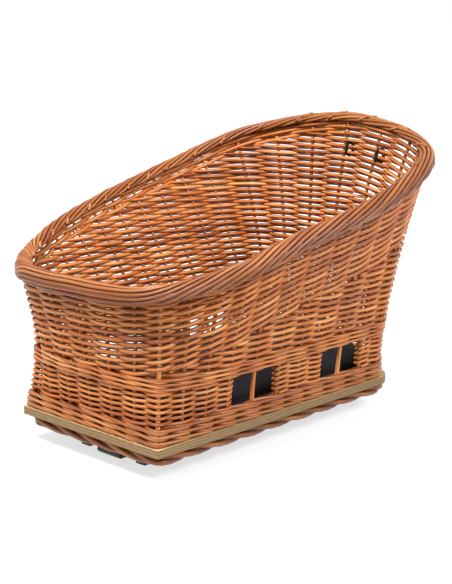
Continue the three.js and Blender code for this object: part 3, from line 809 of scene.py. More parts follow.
class Coat(NodeWork):
    """A new material with its principled shader."""

    def __init__(self, name: str) -> None:
        """Make the material.

        Args:
            name: Its name.
        """
        self.material = bpy.data.materials.new(name)
        self.material.use_nodes = True
        super().__init__(self.material.node_tree)
        self.shader = next(n for n in self.tree.nodes if n.type == "BSDF_PRINCIPLED")

    def finish(self, **inputs: object) -> Material:
        """Set or link the shader's inputs.

        Args:
            **inputs: Outputs or values by name, with underscores for spaces.

        Returns:
            The material.
        """
        for key, value in inputs.items():
            self.plug(self.shader.inputs[key.replace("_", " ")], value)
        return self.material


class SharedGroups:
    """Node groups that more than one finish uses, each made once."""

    def __init__(self) -> None:
        """Build the groups."""
        self.grain = self._grain()
        self.mottle = self._mottle()

    def _start(self, name: str, inputs: Mapping[str, float],
               outputs: Sequence[str]) -> tuple[NodeWork, Mapping[str, Socket], Mapping[str, Socket]]:
        """Make an empty group with named sockets.

        Args:
            name: Name of the group.
            inputs: Its numbers, with their usual values.
            outputs: Its results.

        Returns:
            The group's tree, what comes into it and what goes out of it.
        """
        group = bpy.data.node_groups.new(name, "ShaderNodeTree")
        group.interface.new_socket(name="Vector", in_out="INPUT", socket_type="NodeSocketVector")
        for label, value in inputs.items():
            socket = group.interface.new_socket(name=label, in_out="INPUT", socket_type="NodeSocketFloat")
            socket.default_value = value
        for label in outputs:
            group.interface.new_socket(name=label, in_out="OUTPUT", socket_type="NodeSocketFloat")
        start, end = (group.nodes.new(kind) for kind in ("NodeGroupInput", "NodeGroupOutput"))
        return NodeWork(group), start.outputs, end.inputs

    def _grain(self) -> Tree:
        """Long fibres that run along the first axis of the given vector.

        Returns:
            The group.
        """
        work, given, results = self._start("long_grain", {"Stretch": 30.0, "Across": 6.0},
                                           ("Fibre", "Blotch", "Knot"))
        along = work.math("MULTIPLY", work.axis(given["Vector"], "X"), given["Stretch"])
        across = work.math("MULTIPLY", work.axis(given["Vector"], "Y"), given["Across"])
        depth = work.axis(given["Vector"], "Z")
        drawn = work.node("CombineXYZ", {0: along, 1: across, 2: depth}).outputs[0]
        slow = work.node("VectorMath", {0: drawn, 1: (0.35, 0.12, 0.35)}, operation="MULTIPLY").outputs[0]
        knot = work.node("TexVoronoi", {"Vector": drawn, "Scale": 0.55}).outputs["Distance"]
        work.plug(results["Fibre"], work.noise(drawn, 1.0, 4.0, 0.65))
        work.plug(results["Blotch"], work.noise(slow, 1.0, 2.0, 0.5))
        work.plug(results["Knot"], work.remap(knot, 0.06, 0.2, 1.0, 0.0, "SMOOTHSTEP"))
        return work.tree

    def _mottle(self) -> Tree:
        """Soft uneven patches and fine specks at two scales.

        Returns:
            The group.
        """
        work, given, results = self._start("soft_mottle", {"Patch Scale": 8.0, "Speck Scale": 400.0},
                                           ("Patch", "Speck"))
        work.plug(results["Patch"], work.noise(given["Vector"], given["Patch Scale"], 3.0, 0.55))
        work.plug(results["Speck"], work.noise(given["Vector"], given["Speck Scale"], 2.0, 0.6))
        return work.tree


@dataclass(frozen=True)
class WillowFinish:
    """Varnished willow rods: warm tones, fine fibres, dark buds and a soft shine."""

    name: str
    dark: Color = (0.290, 0.062, 0.008)
    middle: Color = (0.575, 0.168, 0.026)
    light: Color = (0.860, 0.395, 0.118)
    bud: Color = (0.10, 0.032, 0.010)
    # Colour of the painted shade on each rod's two narrow sides, where it meets its neighbours
    groove_shade_color: Color = (0.15, 0.09, 0.06)
    streak: Color = (0.62, 0.56, 0.50)
    dull_patch: Color = (0.80, 0.74, 0.70)
    bright_patch: Color = (1.08, 1.06, 1.04)
    streak_share: float = 0.75
    patch_share: float = 0.8
    blotch: float = 0.9
    # Share of that painted shade on the rods' narrow sides
    groove_shade_share: float = 0.90
    roughness: tuple[float, float] = (0.57, 0.35)
    shine: float = 0.24
    shine_roughness: float = 0.20
    specular: float = 0.32
    fibre_relief: tuple[float, float] = (0.35, 0.0006)

    def build(self, groups: SharedGroups) -> Material:
        """Make the material.

        Args:
            groups: The shared node groups.

        Returns:
            The material.
        """
        coat = Coat(self.name)
        tone = coat.node("Attribute", attribute_name="tone").outputs["Fac"]
        uv = coat.node("UVMap").outputs["UV"]
        grain = coat.shared(groups.grain, uv, Stretch=26.0, Across=9.0)
        mottle = coat.shared(groups.mottle, coat.place(), Patch_Scale=9.0, Speck_Scale=260.0)
        blotch = coat.math("MULTIPLY_ADD", grain["Blotch"], self.blotch, -self.blotch / 2)
        color = coat.ramp(coat.math("ADD", tone, blotch, clamp=True),
                          (0.0, self.dark), (0.45, self.middle), (1.0, self.light))
        streak = coat.ramp(grain["Fibre"], (0.30, self.streak), (0.58, WHITE))
        color = coat.mix(self.streak_share, color, streak)
        patch = coat.ramp(mottle["Patch"], (0.30, self.dull_patch), (0.65, self.bright_patch))
        color = coat.mix(self.patch_share, color, patch)
        color = coat.mix(grain["Knot"], color, self.bud, "MIX")
        # Painted shade in the grooves between neighbouring rods
        if self.groove_shade_share > 0:
            color = coat.mix(self.groove_shade_share, color, self._painted_groove_shade(coat, uv))
        gloss = coat.remap(grain["Fibre"], 0.3, 0.7, *self.roughness)
        return coat.finish(Base_Color=color, Roughness=gloss, Coat_Weight=self.shine,
                           Coat_Roughness=self.shine_roughness, Specular_IOR_Level=self.specular,
                           Normal=coat.relief(grain["Fibre"], *self.fibre_relief))

    def _painted_groove_shade(self, coat: Coat, uv: Socket) -> Socket:
        """Painted shade where a rod touches its neighbours, on its two narrow sides.

        Args:
            coat: The material.
            uv: Place along and round the rod.

        Returns:
            The painted shade's colour.
        """
        side = coat.math("PINGPONG", coat.math("MULTIPLY", coat.axis(uv, "Y"), 4.0), 1.0)
        return coat.ramp(side, (0.30, WHITE), (0.95, self.groove_shade_color))


@dataclass(frozen=True)
class PlywoodFinish:
    """Birch plywood: pale faces with long grain, thin darker veneers in the edge."""

    name: str
    bottom: float
    thickness: float
    layers: float = 6.0
    waviness: float = 2.6
    face: tuple[Color, Color, Color] = ((0.43, 0.27, 0.125), (0.60, 0.41, 0.21), (0.68, 0.49, 0.27))
    veneers: tuple[Color, Color, Color] = ((0.190, 0.112, 0.046), (0.280, 0.168, 0.068),
                                           (0.340, 0.225, 0.098))
    speck: Color = (0.70, 0.64, 0.58)
    speck_share: float = 0.8
    roughness: float = 0.62
    speck_relief: tuple[float, float] = (0.3, 0.0006)

    def build(self, groups: SharedGroups) -> Material:
        """Make the material.

        Args:
            groups: The shared node groups.

        Returns:
            The material.
        """
        coat = Coat(self.name)
        place = coat.place()
        grain = coat.shared(groups.grain, place, Stretch=9.0, Across=190.0)
        mottle = coat.shared(groups.mottle, place, Patch_Scale=14.0, Speck_Scale=520.0)
        face = coat.ramp(grain["Fibre"], *zip((0.28, 0.55, 0.8), self.face))
        top = self.bottom + self.thickness
        height = coat.remap(coat.axis(place, "Z"), self.bottom, top, 0.0, self.layers)
        uneven = coat.math("MULTIPLY_ADD", mottle["Patch"], self.waviness, height)
        veneer = coat.ramp(coat.math("PINGPONG", uneven, 1.0), *zip((0.1, 0.5, 0.9), self.veneers))
        normal = coat.node("NewGeometry").outputs["True Normal"]
        color = coat.mix(coat.math("ABSOLUTE", coat.axis(normal, "Z")), veneer, face, "MIX")
        speck = coat.ramp(mottle["Speck"], (0.36, self.speck), (0.56, WHITE))
        return coat.finish(Base_Color=coat.mix(self.speck_share, color, speck), Roughness=self.roughness,
                           Normal=coat.relief(mottle["Speck"], *self.speck_relief))


@dataclass(frozen=True)
class ClothFinish:
    """Black woven cloth with a crossed thread pattern and a faint fuzz."""

    name: str
    color: Color = (0.0105, 0.0095, 0.0120)
    tones: tuple[float, float] = (0.6, 1.7)
    thread_scale: float = 260.0
    thread_shade: Color = (0.5, 0.5, 0.5)
    thread_relief: tuple[float, float] = (0.35, 0.0005)
    roughness: float = 0.92
    specular: float = 0.18
    fuzz: float = 0.05
    fuzz_roughness: float = 0.5

    def build(self, groups: SharedGroups) -> Material:
        """Make the material.

        Args:
            groups: The shared node groups.

        Returns:
            The material.
        """
        coat = Coat(self.name)
        place = coat.place()
        mottle = coat.shared(groups.mottle, place, Patch_Scale=12.0, Speck_Scale=700.0)
        inputs = {"Vector": place, "Scale": self.thread_scale, "Distortion": 0.4}
        warp, weft = (coat.node("TexWave", inputs, bands_direction=axis).outputs["Fac"] for axis in "XY")
        threads = coat.math("MAXIMUM", warp, weft)
        worn, full = (tuple(part * share for part in self.color) for share in self.tones)
        color = coat.mix(1.0, coat.ramp(mottle["Patch"], (0.3, worn), (0.7, full)),
                         coat.ramp(threads, (0.1, self.thread_shade), (0.9, WHITE)))
        return coat.finish(Base_Color=color, Roughness=self.roughness, Sheen_Weight=self.fuzz,
                           Specular_IOR_Level=self.specular, Sheen_Roughness=self.fuzz_roughness,
                           Normal=coat.relief(threads, *self.thread_relief))


@dataclass(frozen=True)
class PlasticFinish:
    """Moulded black plastic with a fine spark-eroded texture and dusty patches."""

    name: str
    tones: tuple[Color, Color] = ((0.010, 0.011, 0.013), (0.026, 0.027, 0.030))
    roughness: tuple[float, float] = (0.38, 0.60)
    speck_relief: tuple[float, float] = (0.25, 0.0003)

    def build(self, groups: SharedGroups) -> Material:
        """Make the material.

        Args:
            groups: The shared node groups.

        Returns:
            The material.
        """
        coat = Coat(self.name)
        mottle = coat.shared(groups.mottle, coat.place(), Patch_Scale=22.0, Speck_Scale=1400.0)
        color = coat.ramp(mottle["Patch"], *zip((0.3, 0.75), self.tones))
        gloss = coat.remap(mottle["Patch"], 0.0, 1.0, *self.roughness)
        return coat.finish(Base_Color=color, Roughness=gloss,
                           Normal=coat.relief(mottle["Speck"], *self.speck_relief))


@dataclass(frozen=True)
class SteelFinish:
    """Zinc-plated steel with fine and coarse dull spots."""

    name: str
    tones: tuple[Color, Color] = ((0.30, 0.31, 0.32), (0.52, 0.53, 0.54))
    roughness: tuple[float, float] = (0.24, 0.5)
    speck_relief: tuple[float, float] = (0.12, 0.0002)

    def build(self, groups: SharedGroups) -> Material:
        """Make the material.

        Args:
            groups: The shared node groups.

        Returns:
            The material.
        """
        coat = Coat(self.name)
        mottle = coat.shared(groups.mottle, coat.place(), Patch_Scale=160.0, Speck_Scale=1800.0)
        color = coat.ramp(mottle["Patch"], *zip((0.3, 0.7), self.tones))
        gloss = coat.remap(mottle["Speck"], 0.0, 1.0, *self.roughness)
        return coat.finish(Base_Color=color, Metallic=1.0, Roughness=gloss,
                           Normal=coat.relief(mottle["Speck"], *self.speck_relief))


class Finishes:
    """Every finish of the basket, built once."""

    def __init__(self, groups: SharedGroups, sizes: BasketSizes) -> None:
        """Build the materials.

        Args:
            groups: The shared node groups.
            sizes: The basket's sizes.
        """
        # The stakes get no painted shade between rods, the border a little less than the weave
        self.rod = WillowFinish("willow_stakes", groove_shade_share=0.0).build(groups)
        self.weave = WillowFinish("willow_weaving").build(groups)
        self.wale = WillowFinish("willow_waling").build(groups)
        # The sill's darker tones are painted shade on the lowest band of the wall
        self.sill = WillowFinish("willow_sill", dark=(0.21, 0.046, 0.007), middle=(0.40, 0.112, 0.018),
                                 light=(0.62, 0.255, 0.072)).build(groups)
        self.border = WillowFinish("willow_border", dark=(0.20, 0.045, 0.006), middle=(0.30, 0.083, 0.012),
                                   light=(0.45, 0.172, 0.042), groove_shade_share=0.78).build(groups)
        self.board = PlywoodFinish("birch_plywood", sizes.board_underside,
                                   sizes.board_thickness).build(groups)
        self.cloth = ClothFinish("black_cushion_cloth").build(groups)
        self.cord = ClothFinish("black_tie_cord", color=(0.014, 0.013, 0.014)).build(groups)
        self.plastic = PlasticFinish("black_moulded_plastic").build(groups)
        self.steel = SteelFinish("zinc_plated_steel").build(groups)


# The woven wall


@dataclass
class WovenWall:
    """All rows of weaving, laid in and out of the stakes."""

    form: WallForm
    finishes: Finishes
    pitch: float = 0.00503
    low_pitch: float = 0.0042
    rod: float = 0.0054
    low_rod: float = 0.0046
    wale_rod: float = 0.0056
    wale_share: float = 0.60
    wale_lift: float = 0.36
    wale_inset: float = 0.46
    wale_lap: float = 0.6
    wall_depth: float = 0.0054
    roundness: float = 0.8
    tight_rod: float = 1.21
    tight_depth: float = 0.77
    tightness: tuple[float, ...] = (0.75, 0.65, 0.1, 0.6, 0.9, 0, 0, 1, 0.85)
    sill_rounds: int = 3
    waist_rounds: int = 3
    bulge: float = 1.04
    sill_bulge: float = 1.42
    rim_rows: int = 4
    rim_rod: float = 1.06
    under_rim_depth: float = 0.75
    under_rim_rows: int = 2
    run_out: float = 0.9
    front_ease_bays: float = 3.0
    drift: float = 0.0006
    # Share, rate round the basket, rate upwards and shift of each slow wave that rows share
    drift_waves: tuple[tuple[float, ...], ...] = ((1.0, 0.9, 38, 1.0), (0.6, 2.3, -55, 2.2))
    ripple_rates: tuple[float, float] = (0.35, 1.6)
    height_ripple: float = 0.00022
    depth_ripple: float = 0.07
    rod_bays: tuple[int, int] = (11, 19)
    join_depth: float = 0.68
    shortest_bays: int = 3
    lap_sink: float = 0.0008
    butt: float = 1.06
    taper: float = 0.13
    knots: float = 0.03
    knot_rates: tuple[float, float] = (5.1, 1.7)
    rod_spread: float = 0.05
    tip: float = 0.8
    tone: tuple[float, float] = (0.49, 0.18)
    tone_range: tuple[float, float] = (0.02, 0.98)
    turn_points: int = 7
    samples: int = 8
    seed: int = 11
    random: np.random.Generator = field(init=False)

    def __post_init__(self) -> None:
        """Seed the small irregularities of the hand work."""
        self.random = np.random.default_rng(self.seed)

    def _tight(self, place: Array) -> Array:
        """How tightly the rows are beaten together: most round the front, least behind.

        Args:
            place: Places round the basket.

        Returns:
            One value from 0 to 1 for each place.
        """
        s = self.form.sizes
        marks = (0, s.corner, s.corner + 1.5, s.corner + 3, s.side_end, s.half_count, s.half_count + 2,
                 s.half_count + 5, s.count)
        return np.interp(place % s.count, marks, self.tightness)

    def _weave(self, place: Array, parity: int) -> Array:
        """Offset of a plain row, out at one stake and in at the next.

        Args:
            place: Places along the row.
            parity: Number of the row, which tells at which stakes it is out.

        Returns:
            The offset at each place.
        """
        wave = np.cos(math.pi * (place + parity))
        depth = self.wall_depth * (1 - (1 - self.tight_depth) * self._tight(place))
        return depth * np.sign(wave) * np.abs(wave) ** self.roundness

    def _wale(self, place: Array, shift: int) -> tuple[Array, Array]:
        """Course of a wale rod, out over two stakes and in behind the third.

        Args:
            place: Places along the row.
            shift: Stakes by which the rod is behind the first one.

        Returns:
            Its offset and its lift, which is 1 at the top and -1 at the bottom.
        """
        x = (place + shift) % 3
        rise = np.clip(x - 2, 0, 1)
        fall = np.clip(x - 1, 0, 1)
        level = 1 - 2 * (fall**2 * (3 - 2 * fall)) + 2 * (rise**2 * (3 - 2 * rise))
        outside = (x - 2.5) % 3
        return self.wall_depth * level, np.where(outside <= 2, 1 - outside, 2 * (outside - 2) - 1)

    def _adrift(self, place: Array, height: Array) -> Array:
        """Heights with the slow rise and fall that neighbouring rows share.

        Args:
            place: Places along the row.
            height: Height at each place.

        Returns:
            The new heights.
        """
        slow = sum(share * np.sin(around * place + up * height + shift)
                   for share, around, up, shift in self.drift_waves)
        return height + self.drift * slow

    def _ripple(self, place: Array, size: float) -> Array:
        """Slow unevenness along one row.

        Args:
            place: Places along the row.
            size: Largest size of the unevenness.

        Returns:
            One value for each place.
        """
        phase = self.random.uniform(0, 2 * math.pi, 3)
        rates = self.random.uniform(*self.ripple_rates, 3)
        return size * sum(np.sin(place * r + p) for r, p in zip(rates, phase)) / 3

    def lay(self, bundle: RodBundle, place: Array, height: Array, offset: Array, size: float,
            thin_ends: bool = False) -> None:
        """Lay one row as a chain of tapered rods that overlap behind a stake.

        Args:
            bundle: Mesh that takes the rods.
            place: Places along the row, evenly spaced.
            height: Height at each place.
            offset: Distance out of the wall at each place.
            size: Rod diameter.
            thin_ends: Whether the row starts and ends with thin tips.
        """
        height = height + self._ripple(place, self.height_ripple)
        offset = offset * (1 + self._ripple(place, self.depth_ripple))
        start = 0
        total = len(place)
        lap = self.samples // 2
        tip = np.linspace(self.tip, 1.0, self.samples)
        fast, slow = self.knot_rates
        while start < total - 2:
            stop = min(total, start + int(self.random.integers(*self.rod_bays)) * self.samples)
            while stop < total and not offset[stop - 1] < -self.join_depth * self.wall_depth:
                stop += 1
            if total - stop < self.samples * self.shortest_bays:
                stop = total
            part = slice(max(0, start - lap), min(total, stop + lap))
            u, h = place[part], height[part]
            out = self.form.outward(u, h)
            path = self.form.wall(u, h) + out * offset[part][:, None]
            knots = 1 + self.knots * np.sin(u * fast + self.random.uniform(0, 6)) * np.sin(u * slow)
            radius = size / 2 * (self.butt - self.taper * np.linspace(0, 1, len(u))) * knots
            radius *= self.random.uniform(1 - self.rod_spread, 1 + self.rod_spread)
            radius *= 1 + (self.tight_rod - 1) * self._tight(u)
            if start > 0:
                path = path - out * self.lap_sink
            if start == 0 and thin_ends:
                radius[:len(tip)] *= tip[:len(radius)]
            if stop == total and thin_ends:
                radius[-len(tip):] *= tip[::-1][-len(radius):]
            tone = float(np.clip(self.random.normal(*self.tone), *self.tone_range))
            bundle.add(path, out, radius, tone)
            start = stop

    def _places(self, first: float, last: float) -> Array:
        """Evenly spaced places along a row."""
        return np.linspace(first, last, max(3, int(round((last - first) * self.samples)) + 1))

    def build(self) -> None:
        """Weave every band of the wall."""
        s = self.form.sizes
        self._rounds("sill_weaving", "sill_weave", (s.gap, s.sill_height), self.sill_rounds,
                     self.finishes.sill, self.sill_bulge)
        self._piers()
        self._rounds("waist_waling", "waist_wale", (s.head_height, s.head_height + s.wale_height),
                     self.waist_rounds, self.finishes.wale, self.bulge)
        self._upper()

    def _rounds(self, name: str, node: str, levels: tuple[float, float], rounds: int, finish: Material,
                bulge: float) -> None:
        """Weave rounds of three rods that pass over each other, out over two stakes and in behind one.

        Args:
            name: Name of the piece.
            node: Node that it stands for.
            levels: Heights of its bottom and top.
            rounds: Number of rounds.
            finish: Finish of the rods.
            bulge: How far the bottom round stands out, where 1 is the wall's depth.
        """
        s = self.form.sizes
        bundle = RodBundle(self.form)
        low, high = levels
        tall = (high - low) / rounds
        size = min(self.wale_rod, tall * self.wale_share)
        for turn in range(rounds):
            middle = low + (turn + 0.5) * tall
            for shift in range(3):
                place = self._places(s.half_count + turn, s.half_count + s.count + turn + self.wale_lap)
                offset, lift = self._wale(place, shift)
                height = middle + lift * tall * self.wale_lift
                height = np.clip(height, low + size * self.wale_inset, high - size * self.wale_inset)
                swell = self.bulge + (bulge - self.bulge) * (high - height) / (high - low)
                self.lay(bundle, place, height, offset * swell, size)
        bundle.build(name, finish, Body.BASKET, Slot.ROD, node)

    def _piers(self) -> None:
        """Weave the pieces of wall between the windows, each as one rod that turns back at both ends."""
        s = self.form.sizes
        one, two = (s.corner + start for start in s.window_starts)
        one_end, two_end = one + s.window_bays, two + s.window_bays
        spans = (("front_weaving", "front_panel", -one, one),
                 ("side_weaving_near", "side_panel_near", one_end, two),
                 ("rear_weaving", "rear_panel", two_end, s.count - two_end),
                 ("side_weaving_far", "side_panel_far", s.count - two, s.count - one_end))
        low, high = s.sill_height + s.gap, s.head_height - s.gap
        rows = 2 * int(round((high - low) / self.low_pitch / 2))
        step = (high - low) / rows
        turn = np.linspace(0, math.pi, self.turn_points)[1:-1]
        for name, node, first, last in spans:
            bundle = RodBundle(self.form)
            row_parts = []
            for row in range(rows):
                level = low + (row + 0.5) * step
                place = self._places(first, last)
                offset = self._weave(place, row)
                if row % 2:
                    place, offset = place[::-1], offset[::-1]
                end = place[-1]
                beyond = 1 if end == last else -1
                ends = self.form.wall(np.array([end, end + beyond]), level)
                reach = beyond * self.wall_depth / np.linalg.norm(ends[0] - ends[1])
                row_parts.append((place, np.full(len(place), level), offset))
                row_parts.append((end + reach * np.sin(turn), level + step * turn / math.pi,
                                  offset[-1] * np.cos(turn)))
            row_parts[-1] = tuple(values[:1] for values in row_parts[-1])
            place, height, offset = (np.concatenate(values) for values in zip(*row_parts))
            self.lay(bundle, place, height, offset, self.low_rod)
            bundle.build(name, self.finishes.weave, Body.BASKET, Slot.WEAVE, node)

    def _upper(self) -> None:
        """Weave the high part: rows that follow the rim on one side and lie level on the other."""
        s = self.form.sizes
        bundle = RodBundle(self.form)
        back = s.half_count
        low = s.head_height + s.wale_height + s.gap
        rim_front, rim_back = (float(z) for z in self.form.rim_height(np.array([0.0, float(back)])))
        band = int(round((rim_front - low) / self.pitch))
        tall = (rim_front - low) / band
        level = 2 * int(round((rim_back - low - band * tall) / self.pitch / 2))
        step = (rim_back - low - band * tall) / level
        grid = self._places(0, s.count)
        rim = self.form.rim_height(grid)
        for row in range(level):
            z = low + (row + 0.5) * step
            start = grid[np.argmax((grid > 0) & (rim - band * tall > z + step * 0.1))]
            goes_on = row < band - self.rim_rows
            beyond = (grid > back) & (rim < z + (self.rim_rows - self.run_out) * tall)
            stop = float(grid[np.argmax(beyond)]) if beyond.any() else s.count - 0.5
            place = self._places(start, float(s.count) if goes_on else stop)
            height = np.full(len(place), z)
            if goes_on:
                ease = np.clip((place - (s.count - self.front_ease_bays)) / self.front_ease_bays, 0, 1)
                height = height + (low + (row + 0.5) * tall - z) * ease
                more = self._places(s.count, s.count + back)[1:]
                above = self.form.rim_height(more) - (band - 0.5 - row) * tall
                place, height = self._round_the_back(np.r_[place, more], np.r_[height, above], tall)
            height = self._adrift(place, height)
            self.lay(bundle, place, height, self._weave(place, row), self.rod, thin_ends=True)
        for row in range(band - self.rim_rows, band):
            place = self._places(back, back + s.count)
            height = self.form.rim_height(place) - (band - 0.5 - row) * tall
            depth = self.under_rim_depth if row >= band - self.under_rim_rows else 1.0
            out = self._weave(place, level + row) * depth
            self.lay(bundle, place, height, out, self.rod * self.rim_rod)
        bundle.build("upper_weaving", self.finishes.weave, Body.BASKET, Slot.WEAVE, "upper_weave")

    def _round_the_back(self, place: Array, height: Array, tall: float) -> tuple[Array, Array]:
        """Carry a row of the rim-side band round the back, to where it runs out under the border.

        Args:
            place: Places along the row.
            height: Height at each place.
            tall: Height of a row in the band.

        Returns:
            The places and heights of the whole row.
        """
        s = self.form.sizes
        grid = self._places(s.half_count, s.count)
        beyond = self.form.rim_height(grid) < height[-1] + (self.rim_rows - self.run_out) * tall
        end = grid[np.argmax(beyond)] if beyond.any() else grid[-1]
        more = self._places(s.half_count, end)[1:] + s.count
        return np.r_[place, more], np.r_[height, np.full(len(more), height[-1])]


# Stakes and borders


@dataclass
class Stakes:
    """The upright rods, each a copy of one modelled rod bent to its own line."""

    form: WallForm
    finishes: Finishes
    facets: int = 12
    steps: int = 14
    reach: float = 0.002
    taper: float = 0.10
    wobble: float = 0.03
    wobble_rate: float = 90
    wobble_shift: float = 1.7
    tones: tuple[float, float] = (0.35, 0.5)
    tone_step: float = 0.618
    map_shift: float = 0.7

    def build(self) -> None:
        """Model one straight rod, then bend a copy to each stake's line."""
        pick(None)
        bpy.ops.mesh.primitive_cylinder_add(vertices=self.facets, radius=1.0, depth=1.0,
                                            location=(0, 0, 0.5))
        master = bpy.context.object
        bpy.ops.object.mode_set(mode="EDIT")
        bpy.ops.mesh.select_all(action="DESELECT")
        mesh = bmesh.from_edit_mesh(master.data)
        for edge in mesh.edges:
            edge.select = abs(edge.verts[0].co.z - edge.verts[1].co.z) > 0.5
        bmesh.update_edit_mesh(master.data)
        bpy.ops.mesh.subdivide(number_cuts=self.steps)
        pick(master)
        bpy.ops.object.transform_apply(location=True, rotation=True, scale=True)
        for index in range(self.form.sizes.count):
            self._bend(master.data.copy(), index)
        bpy.data.objects.remove(master, do_unlink=True)

    def _bend(self, mesh: Mesh, index: int) -> None:
        """Lay a straight rod along one stake's line.

        Args:
            mesh: The rod, which is changed.
            index: Number of the stake.
        """
        s = self.form.sizes
        points = read_points(mesh)
        part = points[:, 2] - points[:, 2].min()
        part /= part.max()
        low, high = -s.board_thickness, self.form.top[index][2] + self.reach
        height = low + (high - low) * part
        centre = self.form.stake(np.full(len(points), index), np.maximum(height, 0))[:, :2]
        radius = s.stake_diameter / 2 * (1.0 - self.taper * part)
        wobble = 1 + self.wobble * np.sin(height * self.wobble_rate + index * self.wobble_shift)
        bent = np.c_[centre + points[:, :2] * radius[:, None] * wobble[:, None], height] + self.form.origin
        angle = np.arctan2(bent[:, 1] - centre[:, 1], bent[:, 0] - s.middle_x - centre[:, 0])
        corners = np.empty(len(mesh.loops), dtype=np.int32)
        mesh.loops.foreach_get("vertex_index", corners)
        uv = np.c_[height[corners] + index * self.map_shift, angle[corners] / (2 * math.pi) + 0.5]
        tone = self.tones[0] + self.tones[1] * ((index * self.tone_step) % 1)
        write_look(mesh, np.full(len(points), tone), uv)
        write_points(mesh, bent)
        dress(link(f"stake_rod_{index + 1:02d}", mesh), self.finishes.rod, Body.BASKET, Slot.ROD,
              f"stake_{index + 1:02d}")


